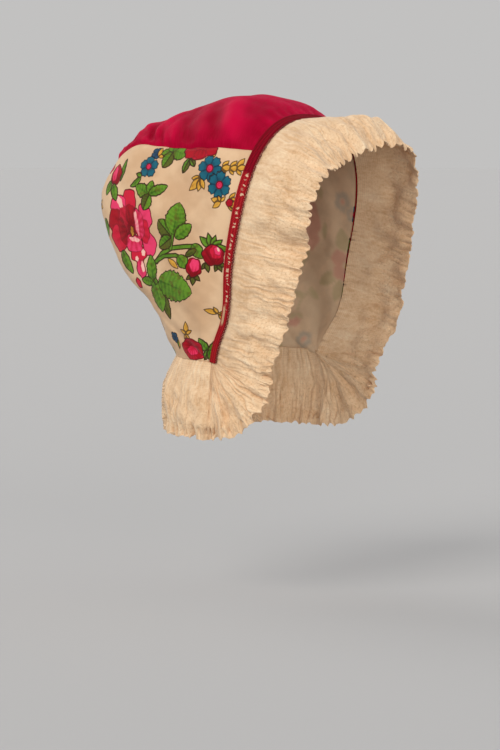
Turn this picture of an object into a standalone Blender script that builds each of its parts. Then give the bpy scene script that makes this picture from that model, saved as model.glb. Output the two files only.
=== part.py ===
"""A three-piece cloth bonnet with a gathered lace frill, held in the shape that it has when worn.

Metres, +Z up. The face opening looks along -Y and the wearer's right side is -X. The origin is
on the inside of the crown's top, where the bonnet sits on a head.

The cloth is one dome. Its sections fan about a line through the two lower front corners, from
the face edge over the top and the back to the neck edge, and two seams part the dome into a
crown strip and two side panels. The frill hangs from the face edge and from the neck edges.
"""

import math
from collections import namedtuple
from functools import lru_cache

import bmesh
import bpy
import numpy as np
from mathutils import Vector

# The dome, each size measured on the outside of the cloth
CROWN_HEIGHT = 0.175  # from the corner line up to the crown's top, without the crown's puff
HALF_WIDTH = 0.077  # half of the widest breadth, over the ears
CORNER_HALF_WIDTH = 0.064  # half of the distance between the two lower front corners
CORNER_FORWARD = 0.010  # how far the corner line lies in front of the crown's top
FACE_LEAN = math.radians(12)  # the face edge leans forward of upright
FACE_BOW = 0.0045  # the face edge bows forward at the jaw and back at the top
TOP_BOW = 0.7  # how much of the bow the top takes
NECK_TURN = math.radians(87)  # from upright, back and down to the neck edge

# Cloth, seams and gathers
WALL = 0.0012
SEAM_GAP = 0.0005
EDGE_GAP = 0.0005
CROWN_PUFF = 0.0035  # the crown strip stands this proud of its seams
PUFF_RUN = 0.016  # the puff rises over this distance from the seam
GATHER_DEPTH = 0.0014
GATHER_PITCH = 0.0125
GATHER_RUN = 0.024  # the gathers die out this far from the seam
GATHER_FROM = 0.25  # the gathers set in at this turn and are full at the next
GATHER_FULL = 0.45
CREASE_DEPTH = 0.0016  # soft diagonal creases in each side panel
CREASE_WIDTH = 0.009
CORNER_RADIUS = 0.0012  # the lower front corner of a side panel is rounded off

# The braid along the face edge
BRAID_WIDTH = 0.0050
BRAID_CORNER_WIDTH = 0.0030
BRAID_THICKNESS = 0.0018
BRAID_PROUD = 0.0004  # it stands this far out from the cloth

# The lace frill
FRILL_WIDTH = 0.050
FRILL_THICKNESS = 0.0010
FRILL_PITCH = 0.018
FRILL_DEPTH = 0.0038  # half of the height of a ruffle at the outer edge
FRILL_SCALLOP = 0.0016
FRILL_WANDER = 0.6  # the ruffles come a little early or late, by up to this many radians
FRILL_WANDER_RATE = 0.9
FRILL_CORNER = 0.060  # length of lace that fans round each lower front corner
FRILL_NAPE_HALF_WIDTH = 0.029  # each end of the frill lies this far from the middle of the nape
FRILL_DIP_TOP = math.radians(18)  # over the forehead the frill dips this far from straight ahead
FRILL_INWARD_SIDE = math.radians(10)
FRILL_INWARD_CORNER = math.radians(1)
FRILL_OUTWARD_NECK = math.radians(5)
FRILL_NECK_BULGE = 0.005  # below the neck edge the lace swells out this far

# The tape ends at the nape
TAB_LENGTH = 0.007
TAB_WIDTH = 0.006
TAB_THICKNESS = 0.0012
TAB_SWING = math.radians(45)  # each tab swings out this far from hanging straight down
TAB_GAP = 0.0008
TAB_PLACE = 0.72  # its place across the crown strip, 1 being the seam

# Mesh steps
CROWN_STEPS_ALONG = 60
CROWN_STEPS_ACROSS = 12
PANEL_STEPS_ALONG = 30
PANEL_STEPS_DOWN = 12
BRAID_STEPS = 80
FRILL_STEPS_PER_RUFFLE = 5
FRILL_STEPS_OUT = 4

# Sections of the dome. turn runs from the face edge (0) to the neck edge (1); reach is the height
# over the corner line as a share of CROWN_HEIGHT; width and seam are half-breadths as shares of
# HALF_WIDTH; ear is the height of the widest place as a share of this section's own reach; square
# is the exponent of the arch above it, 2 for an ellipse and more for squarer shoulders.
Section = namedtuple("Section", "turn reach width seam ear square")
SECTIONS = (
    Section(turn=0.00, reach=0.952, width=0.95, seam=0.755, ear=0.50, square=2.5),
    Section(turn=0.14, reach=1.000, width=0.98, seam=0.820, ear=0.48, square=2.4),
    Section(turn=0.27, reach=0.980, width=1.00, seam=0.785, ear=0.47, square=2.5),
    Section(turn=0.43, reach=0.965, width=0.96, seam=0.650, ear=0.50, square=3.5),
    Section(turn=0.59, reach=0.835, width=0.90, seam=0.390, ear=0.47, square=3.5),
    Section(turn=0.67, reach=0.665, width=0.84, seam=0.330, ear=0.37, square=2.1),
    Section(turn=0.75, reach=0.495, width=0.83, seam=0.315, ear=0.28, square=1.9),
    Section(turn=0.83, reach=0.395, width=0.84, seam=0.310, ear=0.22, square=2.0),
    Section(turn=1.00, reach=0.325, width=0.85, seam=0.310, ear=0.08, square=2.0),
)

# Deep folds of the frill. along is the place as a share of the way from the top of the face edge to
# the nape, negative on the wearer's right; depth and span are shares of FRILL_WIDTH, and a negative
# depth is a hollow.
Fold = namedtuple("Fold", "along depth span")
FOLDS = (
    Fold(along=-0.10, depth=-0.10, span=0.30),
    Fold(along=-0.24, depth=0.08, span=0.36),
    Fold(along=-0.36, depth=-0.10, span=0.30),
    Fold(along=-0.50, depth=-0.07, span=0.36),
    Fold(along=-0.66, depth=0.06, span=0.40),
    Fold(along=0.14, depth=0.27, span=0.80),
    Fold(along=0.38, depth=0.08, span=0.36),
    Fold(along=0.50, depth=0.13, span=0.50),
    Fold(along=0.68, depth=0.08, span=0.40),
)

# Soft creases of a side panel, each along a line from start to end in (turn, down) of the panel
Crease = namedtuple("Crease", "start end depth")
CREASES = (
    Crease(start=(0.30, 0.30), end=(0.75, 0.62), depth=-1.0),
    Crease(start=(0.12, 0.42), end=(0.55, 0.78), depth=-0.7),
    Crease(start=(0.55, 0.15), end=(0.95, 0.40), depth=0.6),
)

CLOTH_INSIDE = CROWN_HEIGHT + CROWN_PUFF - WALL  # height of the inside of the crown's top


@lru_cache(maxsize=None)
def table_value(name, turn):
    """A column of SECTIONS at this turn, on a smooth curve through its rows."""
    turns = np.array([row.turn for row in SECTIONS])
    values = np.array([getattr(row, name) for row in SECTIONS])
    slopes = np.gradient(values, turns)
    turn = min(max(turn, 0.0), 1.0)
    i = min(max(int(np.searchsorted(turns, turn)) - 1, 0), len(turns) - 2)
    step = turns[i + 1] - turns[i]
    t = (turn - turns[i]) / step
    return float(
        (2 * t**3 - 3 * t**2 + 1) * values[i]
        + (t**3 - 2 * t**2 + t) * step * slopes[i]
        + (3 * t**2 - 2 * t**3) * values[i + 1]
        + (t**3 - t**2) * step * slopes[i + 1]
    )


def fan(angle):
    """The direction at this angle from upright, turning to the back."""
    return Vector((0.0, math.sin(angle), math.cos(angle)))


def fan_angle(turn):
    return -FACE_LEAN + turn * (NECK_TURN + FACE_LEAN)


def section_sizes(turn):
    """Reach, half-width and ear height of a section, in metres."""
    reach = table_value("reach", turn) * CROWN_HEIGHT
    width = table_value("width", turn) * HALF_WIDTH
    return reach, width, table_value("ear", turn) * reach


def upper_share(turn):
    """The share of a half section's length that lies above its widest place."""
    reach, width, ear = section_sizes(turn)
    upper = math.pi / 4 * (width + reach - ear)
    return upper / (upper + ear)


def half_length(turn):
    reach, width, ear = section_sizes(turn)
    return math.pi / 4 * (width + reach - ear) + ear


def arch_radius(angle, square):
    """Radius at this angle of a superellipse whose half-axes are both 1."""
    return (abs(math.sin(angle)) ** square + abs(math.cos(angle)) ** square) ** (-1 / square)


def dome_point(turn, across):
    """A point of the dome. across runs from the right corner (-1) over the middle (0) to the left (1)."""
    reach, width, ear = section_sizes(turn)
    share = upper_share(turn)
    part = min(abs(across), 1.0)
    if part < share:
        angle = part / share * math.pi / 2
        radius = arch_radius(angle, table_value("square", turn))
        sideways = width * radius * math.sin(angle)
        height = ear + (reach - ear) * radius * math.cos(angle)
    else:
        low = (part - share) / (1 - share)
        sideways = width + (CORNER_HALF_WIDTH - width) * low**2
        height = ear * (1 - low)
    jaw_bow = math.sin(math.pi * part**1.6)
    bow = FACE_BOW * (1 - turn) ** 3 * (jaw_bow - TOP_BOW * (1 - smooth_step(part * 2)))
    corner_line = Vector((0.0, -CORNER_FORWARD, -CLOTH_INSIDE))
    sagittal = corner_line + fan(fan_angle(turn)) * height - Vector((0, bow, 0))
    return sagittal + Vector((math.copysign(sideways, across), 0, 0))


def dome_directions(turn, across):
    """The dome's direction towards the nape, and its outward normal."""
    step = 1e-3
    low = min(max(turn, step), 1 - step)
    side = min(max(across, -1 + 2 * step), 1 - 2 * step)
    back = (dome_point(low + step, side) - dome_point(low - step, side)).normalized()
    left = (dome_point(low, side + step) - dome_point(low, side - step)).normalized()
    return back, left.cross(back).normalized()


@lru_cache(maxsize=None)
def across_at(turn, sideways):
    """The value of across where the dome is this far from its middle, on the wearer's left."""
    low, high = 0.0, upper_share(turn)
    for _ in range(30):
        middle = (low + high) / 2
        low, high = (middle, high) if dome_point(turn, middle).x < sideways else (low, middle)
    return low


def seam_across(turn):
    """Where the seam between the crown strip and a side panel lies, as a value of across."""
    return across_at(turn, table_value("seam", turn) * HALF_WIDTH)


def smooth_step(value):
    value = min(max(value, 0.0), 1.0)
    return value * value * (3 - 2 * value)


def crown_point(u, v):
    """The crown strip: u from the face edge to the neck edge, v from the left seam to the right."""
    side = 1 - 2 * v
    edge = seam_across(u) - SEAM_GAP / 2 / half_length(u)
    across = side * edge
    _, normal = dome_directions(u, across)
    from_seam = (1 - abs(side)) * edge * half_length(u)
    puff = CROWN_PUFF * math.sin(min(from_seam / PUFF_RUN, 1.0) * math.pi / 2)
    gathered = smooth_step((u - GATHER_FROM) / (GATHER_FULL - GATHER_FROM))
    fade = from_seam / GATHER_RUN * math.exp(1 - from_seam / GATHER_RUN)
    length = u * CROWN_HEIGHT * (NECK_TURN + FACE_LEAN)
    wave = math.cos(2 * math.pi * length / GATHER_PITCH)
    return dome_point(u, across) + normal * (puff + GATHER_DEPTH * gathered * fade * wave)


def crease_depth(turn, down):
    """How far the creases move a side panel's point along its normal."""
    depth = 0.0
    for crease in CREASES:
        start, end = Vector(crease.start), Vector(crease.end)
        along = end - start
        place = Vector((turn, down)) - start
        share = place.dot(along) / along.length_squared
        off = (place - along * share).length * CROWN_HEIGHT
        ends = smooth_step(share * 3) * smooth_step((1 - share) * 3)
        depth += crease.depth * CREASE_DEPTH * ends * math.exp(-((off / CREASE_WIDTH) ** 2))
    return depth


def panel_point(u, v, side):
    """A side panel: u from the face edge to the neck edge, v from the seam down to the corner."""
    top = seam_across(u) + SEAM_GAP / 2 / half_length(u)
    bottom = 1 - CORNER_RADIUS / half_length(u)
    across = side * (top + (bottom - top) * v)
    _, normal = dome_directions(u, across)
    rim = smooth_step(8 * u) * smooth_step(8 * (1 - u)) * smooth_step(8 * v)
    return dome_point(u, across) + normal * crease_depth(u, v) * rim


def front_length():
    return half_length(0.0)


def neck_end():
    """The value of across where the frill ends at the nape."""
    return across_at(1.0, FRILL_NAPE_HALF_WIDTH)


def neck_length():
    return (1 - neck_end()) * half_length(1.0)


def edge_along(turn, across):
    """The direction of an edge of the dome, towards the wearer's left."""
    step = 2e-3
    side = min(max(across, -1 + step), 1 - step)
    return (dome_point(turn, side + step) - dome_point(turn, side - step)).normalized()


def frill_station(way):
    """Where the lace is sewn on: its root, the way it hangs, and the outward normal.

    The way is a distance from the top of the face edge, down that edge, round the corner and along
    the neck edge to the nape. It is negative on the wearer's right.
    """
    side = -1.0 if way < 0 else 1.0
    distance = abs(way)
    ahead, down = fan(-FACE_LEAN - math.pi / 2), fan(NECK_TURN + math.pi / 2)
    if distance <= front_length():
        across = side * distance / front_length()
        back, _ = dome_directions(0.0, across)
        root = dome_point(0.0, across) - back * (braid_width(across) + 2 * EDGE_GAP)
        return root, ahead, ahead.cross(edge_along(0.0, across)).normalized()
    distance -= front_length()
    if distance <= FRILL_CORNER:
        share = distance / FRILL_CORNER
        out = fan(-FACE_LEAN - math.pi / 2 - share * (math.pi - NECK_TURN - FACE_LEAN))
        back, _ = dome_directions(0.0, side)
        past_braid = BRAID_CORNER_WIDTH + 2 * EDGE_GAP
        offset = out * (past_braid + (EDGE_GAP - past_braid) * share)
        offset -= (back + ahead) * past_braid * (1 - share)
        first = ahead.cross(edge_along(0.0, side)).normalized()
        last = edge_along(1.0, side).cross(down).normalized()
        normal = first * (1 - share) + last * share
        return dome_point(0.0, side) + offset, out, (normal - out * normal.dot(out)).normalized()
    share = (distance - FRILL_CORNER) / neck_length()
    across = side * (1 + (neck_end() - 1) * share)
    normal = edge_along(1.0, across).cross(down).normalized()
    return dome_point(1.0, across) + down * EDGE_GAP, down, normal


def braid_width(across):
    """The braid narrows towards the lower corners."""
    return BRAID_WIDTH + (BRAID_CORNER_WIDTH - BRAID_WIDTH) * smooth_step((abs(across) - 0.55) / 0.4)


def braid_point(u, v):
    """The braid: u from the right corner over the top to the left, v from the cloth to the lace."""
    across = 2 * u - 1
    back, normal = dome_directions(0.0, across)
    crown = BRAID_PROUD * (1 - (2 * v - 1) ** 2)
    edge = dome_point(0.0, across)
    return edge - back * (EDGE_GAP + v * braid_width(across)) + normal * (BRAID_PROUD / 2 + crown)


def frill_lean(way):
    """How far the frill leans from straight off its edge: inward below zero, outward above."""
    distance = abs(way) / front_length()
    past = (abs(way) - front_length()) / FRILL_CORNER
    lean = -FRILL_DIP_TOP + (FRILL_DIP_TOP - FRILL_INWARD_SIDE) * smooth_step(distance / 0.5)
    lean += (FRILL_INWARD_SIDE - FRILL_INWARD_CORNER) * smooth_step((distance - 0.6) / 0.4)
    return lean + (FRILL_INWARD_CORNER + FRILL_OUTWARD_NECK) * smooth_step(past)


def frill_height(way, out_share):
    """How far a ruffle lifts the lace off its own plane."""
    half = front_length() + FRILL_CORNER + neck_length()
    wander = FRILL_WANDER * math.sin(way / FRILL_PITCH * FRILL_WANDER_RATE)
    ruffle = FRILL_DEPTH * math.cos(2 * math.pi * way / FRILL_PITCH + wander)
    height = ruffle * smooth_step(out_share * 1.1) ** 1.2
    past = (abs(way) - front_length()) / FRILL_CORNER
    height += FRILL_NECK_BULGE * math.sin(math.pi * out_share) * smooth_step(past)
    for fold in FOLDS:
        off = (way - fold.along * half) / (fold.span * FRILL_WIDTH)
        height += fold.depth * FRILL_WIDTH * math.exp(-off * off) * smooth_step(out_share * 1.7)
    return height


def frill_point(u, v):
    """The frill: u from the right end at the nape over the top to the left end, v outwards."""
    half = front_length() + FRILL_CORNER + neck_length()
    way = (2 * u - 1) * half
    root, out, normal = frill_station(way)
    lean = frill_lean(way)
    leaning = out * math.cos(lean) + normal * math.sin(lean)
    standing = normal * math.cos(lean) - out * math.sin(lean)
    width = FRILL_WIDTH + FRILL_SCALLOP * (abs(math.cos(math.pi * way / FRILL_PITCH)) - 1)
    return root + leaning * v * width + standing * (frill_height(way, v) - WALL / 2)


def new_material(name, color, roughness, metallic=0.0):
    material = bpy.data.materials.new(name)
    material.diffuse_color = (*color, 1.0)
    material.use_nodes = True
    shader = material.node_tree.nodes["Principled BSDF"]
    shader.inputs["Base Color"].default_value = (*color, 1.0)
    shader.inputs["Roughness"].default_value = roughness
    shader.inputs["Metallic"].default_value = metallic
    return material


def cloth_object(name, steps_u, steps_v, place, thickness, offset, material, collection, even=True):
    """A grid shaped by place(u, v), with the cloth's thickness given by Solidify."""
    shape = bmesh.new()
    bmesh.ops.create_grid(shape, x_segments=steps_u, y_segments=steps_v, size=1.0)
    for vertex in shape.verts:
        vertex.co = place((vertex.co.x + 1) / 2, (vertex.co.y + 1) / 2)
    mesh = bpy.data.meshes.new(name)
    shape.to_mesh(mesh)
    shape.free()
    mesh.shade_smooth()
    mesh.materials.append(material)
    piece = bpy.data.objects.new(name, mesh)
    collection.objects.link(piece)
    wall = piece.modifiers.new("Wall", "SOLIDIFY")
    wall.thickness = thickness
    wall.offset = offset
    wall.use_even_offset = even
    return piece


def make_crown(collection):
    sateen = new_material("magenta_sateen", (0.50, 0.012, 0.05), 0.5)
    cloth_object(
        "crown_strip", CROWN_STEPS_ALONG, CROWN_STEPS_ACROSS, crown_point, WALL, -1, sateen, collection
    )


def make_side_panel(name, side, material, collection):
    """A panel on the wearer's right (side -1) or left (side 1)."""

    def place(u, v):
        return panel_point(u, 1 - v if side > 0 else v, side)

    cloth_object(name, PANEL_STEPS_ALONG, PANEL_STEPS_DOWN, place, WALL, -1, material, collection)


def make_braid(collection):
    red = new_material("red_braid", (0.30, 0.02, 0.03), 0.8)

    def place(u, v):
        return braid_point(1 - u, v)

    cloth_object("front_binding", BRAID_STEPS, 2, place, BRAID_THICKNESS, -1, red, collection)


def make_frill(collection):
    lace = new_material("cream_lace", (0.78, 0.60, 0.38), 0.9)
    length = 2 * (front_length() + FRILL_CORNER + neck_length())
    steps = round(length / FRILL_PITCH * FRILL_STEPS_PER_RUFFLE)

    def place(u, v):
        return frill_point(1 - u, v)

    cloth_object(
        "lace_frill", steps, FRILL_STEPS_OUT, place, FRILL_THICKNESS, 0, lace, collection, even=False
    )


def make_tab(name, side, material, collection):
    """A tape end that stands out from the crown strip's lower edge, beside the seam."""
    down = fan(NECK_TURN + math.pi / 2)
    along = edge_along(1.0, side * TAB_PLACE * seam_across(1.0))
    normal = along.cross(down).normalized()
    out = down * math.cos(TAB_SWING) + normal * math.sin(TAB_SWING)
    edge = crown_point(1.0, (1 - side * TAB_PLACE) / 2)
    root = edge - normal * WALL / 2 + down * TAB_GAP

    def place(u, v):
        return root + along * (u - 0.5) * TAB_WIDTH + out * v * TAB_LENGTH

    cloth_object(name, 2, 3, place, TAB_THICKNESS, 0, material, collection)


def main():
    for old in list(bpy.data.objects):
        bpy.data.objects.remove(old, do_unlink=True)
    collection = bpy.data.collections.new("bonnet")
    bpy.context.scene.collection.children.link(collection)
    challis = new_material("rose_challis", (0.72, 0.52, 0.33), 0.85)
    tape = new_material("cream_tape", (0.80, 0.68, 0.50), 0.9)
    make_crown(collection)
    for name, side in (("right", -1), ("left", 1)):
        make_side_panel(f"side_panel_{name}", side, challis, collection)
        make_tab(f"nape_tab_{name}", side, tape, collection)
    make_braid(collection)
    make_frill(collection)


main()
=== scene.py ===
"""The looks of a three-piece folk bonnet: sateen crown strip, rose-printed side panels, braid and lace.

Sizes are in metres unless a name ends in _mm. The bonnet stays in the shape that it has when worn:
the face opening looks along -Y, the wearer's right side is -X and +Z is up. The pieces lie on one
dome, whose sections fan about a line through the two lower front corners.
"""

import logging
import math
from collections.abc import Callable, Sequence
from dataclasses import dataclass, field
from enum import Enum
from typing import TypeAlias

import bmesh
import bpy
import numpy as np
from mathutils import Matrix, Vector

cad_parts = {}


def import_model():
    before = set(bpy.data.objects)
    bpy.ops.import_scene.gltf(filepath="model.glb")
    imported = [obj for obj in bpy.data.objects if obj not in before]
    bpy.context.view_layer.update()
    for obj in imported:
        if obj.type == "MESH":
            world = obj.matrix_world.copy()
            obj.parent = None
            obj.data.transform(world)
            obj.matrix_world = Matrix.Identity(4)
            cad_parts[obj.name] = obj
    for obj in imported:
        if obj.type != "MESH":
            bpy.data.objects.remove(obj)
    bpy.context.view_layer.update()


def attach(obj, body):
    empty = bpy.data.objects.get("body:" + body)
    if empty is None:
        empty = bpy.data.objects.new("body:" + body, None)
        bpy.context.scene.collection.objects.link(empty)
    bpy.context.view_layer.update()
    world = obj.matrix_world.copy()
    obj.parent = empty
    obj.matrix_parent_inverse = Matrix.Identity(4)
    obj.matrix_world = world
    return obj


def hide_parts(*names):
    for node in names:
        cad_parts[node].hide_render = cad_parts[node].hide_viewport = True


Array = np.ndarray
Color = tuple[float, float, float]
LOG = logging.getLogger("bonnet")
MM = 0.001
MAP_SPAN = 0.8  # metres of cloth that one unit of its UV map spans
WALL = 0.0012  # thickness of the crown's and the panels' cloth
PUFF = 0.0035  # how far the crown strip is puffed out
SEAM_GAP = 0.00008  # what each cloth keeps off the line of its seam
ROLL_DEPTH = 0.0009  # how far a cloth rolls in at its seam
ROLL_RUN = 0.0014
FOLD_SHADE_HEIGHT = 0.0016  # a rise of the crown's cloth that counts as one whole fold in the painted shade and light of the sateen's colour
WAVELENGTHS = (0.65, 1.7)  # the shortest and the longest wave, as shares of the typical one
STEP = 1e-3  # a small step over a surface, to find a direction from
CREASED = math.radians(60)  # edges bent further than this are shaded as sharp


def smooth(value: Array | float) -> Array:
    """A soft step from 0 to 1."""
    value = np.clip(value, 0.0, 1.0)
    return value * value * (3 - 2 * value)


def bell(value: Array | float) -> Array:
    """A soft hump: 1 at 0, and next to nothing beyond 2 either way."""
    return np.exp(-(value**2))


def rolled(off: Array) -> Array:
    """How far a cloth rolls in at this distance from its seam."""
    return ROLL_DEPTH * bell(off / ROLL_RUN)


def ink(red: int, green: int, blue: int) -> Color:
    """A colour of the render, given as the eye reads it from 0 to 255."""
    shares = [part / 255 for part in (red, green, blue)]
    return tuple(((share + 0.055) / 1.055) ** 2.4 if share > 0.04 else share / 12.92 for share in shares)


def wander(place: Array, wavelength: float, seed: int) -> Array:
    """Uneven waves along a line.

    Args:
        place: distance along the line.
        wavelength: typical distance from crest to crest.
        seed: picks the waves.

    Returns:
        Values mostly between -1 and 1.
    """
    rng = np.random.default_rng(seed)
    total = np.zeros_like(place)
    for _ in range(5):
        turn = 2 * math.pi / (wavelength * rng.uniform(*WAVELENGTHS))
        total += np.sin(turn * place + rng.uniform(0, 2 * math.pi))
    return total / 2.4


def crumple(across: Array, along: Array, wavelength: float, seed: int) -> Array:
    """Soft unevenness over a surface.

    Args:
        across: distance one way.
        along: distance the other way.
        wavelength: typical distance from crest to crest.
        seed: picks the waves.

    Returns:
        Values mostly between -1 and 1.
    """
    rng = np.random.default_rng(seed)
    total = np.zeros(np.broadcast(across, along).shape)
    for _ in range(9):
        way = rng.uniform(0, 2 * math.pi)
        turn = 2 * math.pi / (wavelength * rng.uniform(*WAVELENGTHS))
        place = across * math.cos(way) + along * math.sin(way)
        total += np.sin(turn * place + rng.uniform(0, 2 * math.pi))
    return total / 3.4


Value: TypeAlias = "Signal | float | tuple[float, ...]"


@dataclass(frozen=True)
class Signal:
    """A node's output, worked on with Python's own operators."""

    finish: "Finish"
    socket: bpy.types.NodeSocket

    def maths(self, operation: str, *others: Value) -> "Signal":
        """This signal through a Math node."""
        return self.finish.maths(operation, self, *others)

    def __add__(self, other: Value) -> "Signal":
        """Sum."""
        return self.maths("ADD", other)

    __radd__ = __add__

    def __sub__(self, other: Value) -> "Signal":
        """Difference."""
        return self.maths("SUBTRACT", other)

    def __rsub__(self, other: Value) -> "Signal":
        """Difference, the other way round."""
        return self.finish.maths("SUBTRACT", other, self)

    def __mul__(self, other: Value) -> "Signal":
        """Product."""
        return self.maths("MULTIPLY", other)

    __rmul__ = __mul__

    def __truediv__(self, other: Value) -> "Signal":
        """Quotient."""
        return self.maths("DIVIDE", other)

    def __pow__(self, other: Value) -> "Signal":
        """Power."""
        return self.maths("POWER", other)

    def __abs__(self) -> "Signal":
        """Size without its sign."""
        return self.maths("ABSOLUTE")

    def sine(self) -> "Signal":
        """Sine."""
        return self.maths("SINE")

    def wave(self, pitch: float) -> "Signal":
        """A wave from -1 to 1 that repeats at this pitch."""
        return (self * (2 * math.pi / pitch)).sine()

    def at_least(self, other: Value) -> "Signal":
        """The larger of the two."""
        return self.maths("MAXIMUM", other)

    def wrapped(self) -> "Signal":
        """What is left over whole numbers, from 0 to 1."""
        return self.maths("FRACT")

    def whole(self) -> "Signal":
        """The whole number below."""
        return self.maths("FLOOR")

    def ramp(self, start: float, end: float, low: float = 0.0, high: float = 1.0) -> "Signal":
        """A soft step from low at start to high at end."""
        settings = {"interpolation_type": "SMOOTHSTEP"}
        values = {0: self, 1: start, 2: end, 3: low, 4: high}
        return self.finish.make("ShaderNodeMapRange", settings, values)


@dataclass
class Finish:
    """One material, built from maths on signals."""

    name: str
    roughness: float = 0.85
    sheen: float = 0.0
    sheen_roughness: float = 0.5
    specular: float = 0.5
    material: bpy.types.Material = field(init=False)

    def __post_init__(self) -> None:
        """Starts the material and sets what is the same all over it."""
        self.material = bpy.data.materials.new(self.name)
        self.material.use_nodes = True
        self.set("Roughness", self.roughness)
        self.set("Sheen Weight", self.sheen)
        self.set("Sheen Roughness", self.sheen_roughness)
        self.set("Specular IOR Level", self.specular)

    @property
    def tree(self) -> bpy.types.NodeTree:
        """The material's nodes."""
        return self.material.node_tree

    def set(self, name: str, value: Value) -> None:
        """Gives the shader a value or links a signal to it."""
        self.feed(self.tree.nodes["Principled BSDF"].inputs[name], value)

    def feed(self, socket: bpy.types.NodeSocket, value: Value) -> None:
        """Gives a socket a value or links a signal to it."""
        if isinstance(value, Signal):
            self.tree.links.new(value.socket, socket)
        elif isinstance(value, tuple) and socket.type == "RGBA":
            socket.default_value = (*value[:3], 1.0)
        else:
            socket.default_value = value

    def make(
        self,
        kind: str,
        settings: dict[str, object],
        values: dict[int | str, Value],
        output: int | str = 0,
    ) -> Signal:
        """Makes a node.

        Args:
            kind: the node's type.
            settings: its options, set before its sockets.
            values: values or signals for its sockets.
            output: which of its outputs is wanted.

        Returns:
            That output.
        """
        node = self.tree.nodes.new(kind)
        for name, setting in settings.items():
            setattr(node, name, setting)
        for place, value in values.items():
            self.feed(node.inputs[place], value)
        return Signal(self, node.outputs[output])

    def maths(self, operation: str, *values: Value) -> Signal:
        """A Math node."""
        return self.make("ShaderNodeMath", {"operation": operation}, dict(enumerate(values)))

    def mix(self, share: Value, low: Value, high: Value) -> Signal:
        """A colour between two others, by this share of the second."""
        return self.make("ShaderNodeMix", {"data_type": "RGBA"}, {0: share, 6: low, 7: high}, 2)

    def value(self, name: str) -> Signal:
        """A named value of the cloth."""
        return self.make("ShaderNodeAttribute", {"attribute_name": name}, {}, "Fac")

    def cloth(self) -> tuple[Signal, Signal, Signal]:
        """Places on the flat cloth in millimetres: across it, along it, and the two as one vector."""
        spread = self.make("ShaderNodeUVMap", {"uv_map": "Cloth"}, {})
        across = self.make("ShaderNodeSeparateXYZ", {}, {0: spread}, 0)
        along = self.make("ShaderNodeSeparateXYZ", {}, {0: spread}, 1)
        span = MAP_SPAN / MM
        across, along = (across - 0.5) * span, (along - 0.5) * span
        return across, along, self.vector(across, along)

    def vector(self, x: Value, y: Value, z: Value = 0.0) -> Signal:
        """Three values as one vector."""
        return self.make("ShaderNodeCombineXYZ", {}, {0: x, 1: y, 2: z})

    def noise(self, place: Signal, scale: float, detail: float = 3.0, roughness: float = 0.55) -> Signal:
        """Soft noise from 0 to 1 over the cloth."""
        values = {"Vector": place, "Scale": scale, "Detail": detail, "Roughness": roughness}
        return self.make("ShaderNodeTexNoise", {"noise_dimensions": "2D"}, values)

    def bump(self, height: Signal, distance: float, strength: float = 1.0) -> None:
        """Raises the surface by the height, the distance being how far 1 rises."""
        values = {"Strength": strength, "Distance": distance, "Height": height}
        self.set("Normal", self.make("ShaderNodeBump", {}, values))


class Ink(Enum):
    """The printer's inks."""

    LEAF = "leaf"
    MOSS = "moss"
    OCHRE = "ochre"
    WINE = "wine"
    ROSE = "rose"
    PINK = "pink"
    BLUSH = "blush"
    BLUE = "blue"
    NAVY = "navy"


FLOWERS = {Ink.WINE, Ink.ROSE, Ink.PINK, Ink.BLUSH}
FOLIAGE = {Ink.LEAF, Ink.MOSS}
FAR_MM = 40.0  # a distance that is outside every printed shape
Spot = tuple[float, float]


@dataclass
class Printing:
    """Ink being laid on flat cloth. Places and distances are in millimetres."""

    x: Array
    y: Array
    layers: dict[Ink, Array] = field(init=False)
    flower: Array = field(init=False)
    foliage: Array = field(init=False)
    tone: Array = field(init=False)

    def __post_init__(self) -> None:
        """Starts with bare cloth."""
        self.layers = {shade: np.full(self.x.shape, FAR_MM) for shade in Ink}
        self.flower = np.full(self.x.shape, FAR_MM)
        self.foliage = np.full(self.x.shape, FAR_MM)
        self.tone = np.full(self.x.shape, 0.5)

    def lay(
        self, color: Ink, distance: Array, tone: Array | float, covers: bool = True, parted: float = 0.3
    ) -> None:
        """Prints one shape.

        Args:
            color: its ink.
            distance: how far each place lies outside the shape, below zero inside it.
            tone: how light its ink is, from 0 to 1.
            covers: whether it covers the ink below it, or is a highlight on it.
            parted: the gap that parts it from shapes of its own ink.
        """
        parted = 0.0 if color in FLOWERS else parted
        if covers:
            for other, layer in self.layers.items():
                np.maximum(layer, (parted if other is color else 0) - distance, out=layer)
        np.minimum(self.layers[color], distance, out=self.layers[color])
        for family, whole in ((FLOWERS, self.flower), (FOLIAGE, self.foliage)):
            if color in family:
                np.minimum(whole, distance, out=whole)
            elif covers:
                np.maximum(whole, -distance, out=whole)
        self.tone = np.where(distance < 0, tone, self.tone)

    def axes(self, start: Spot, end: Spot) -> tuple[Array, Array, float]:
        """Places as a share of the way from start to end, and beside that way, and its length."""
        dx, dy = end[0] - start[0], end[1] - start[1]
        length = math.hypot(dx, dy)
        x, y = self.x - start[0], self.y - start[1]
        return (x * dx + y * dy) / length**2, (y * dx - x * dy) / length, length


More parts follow.
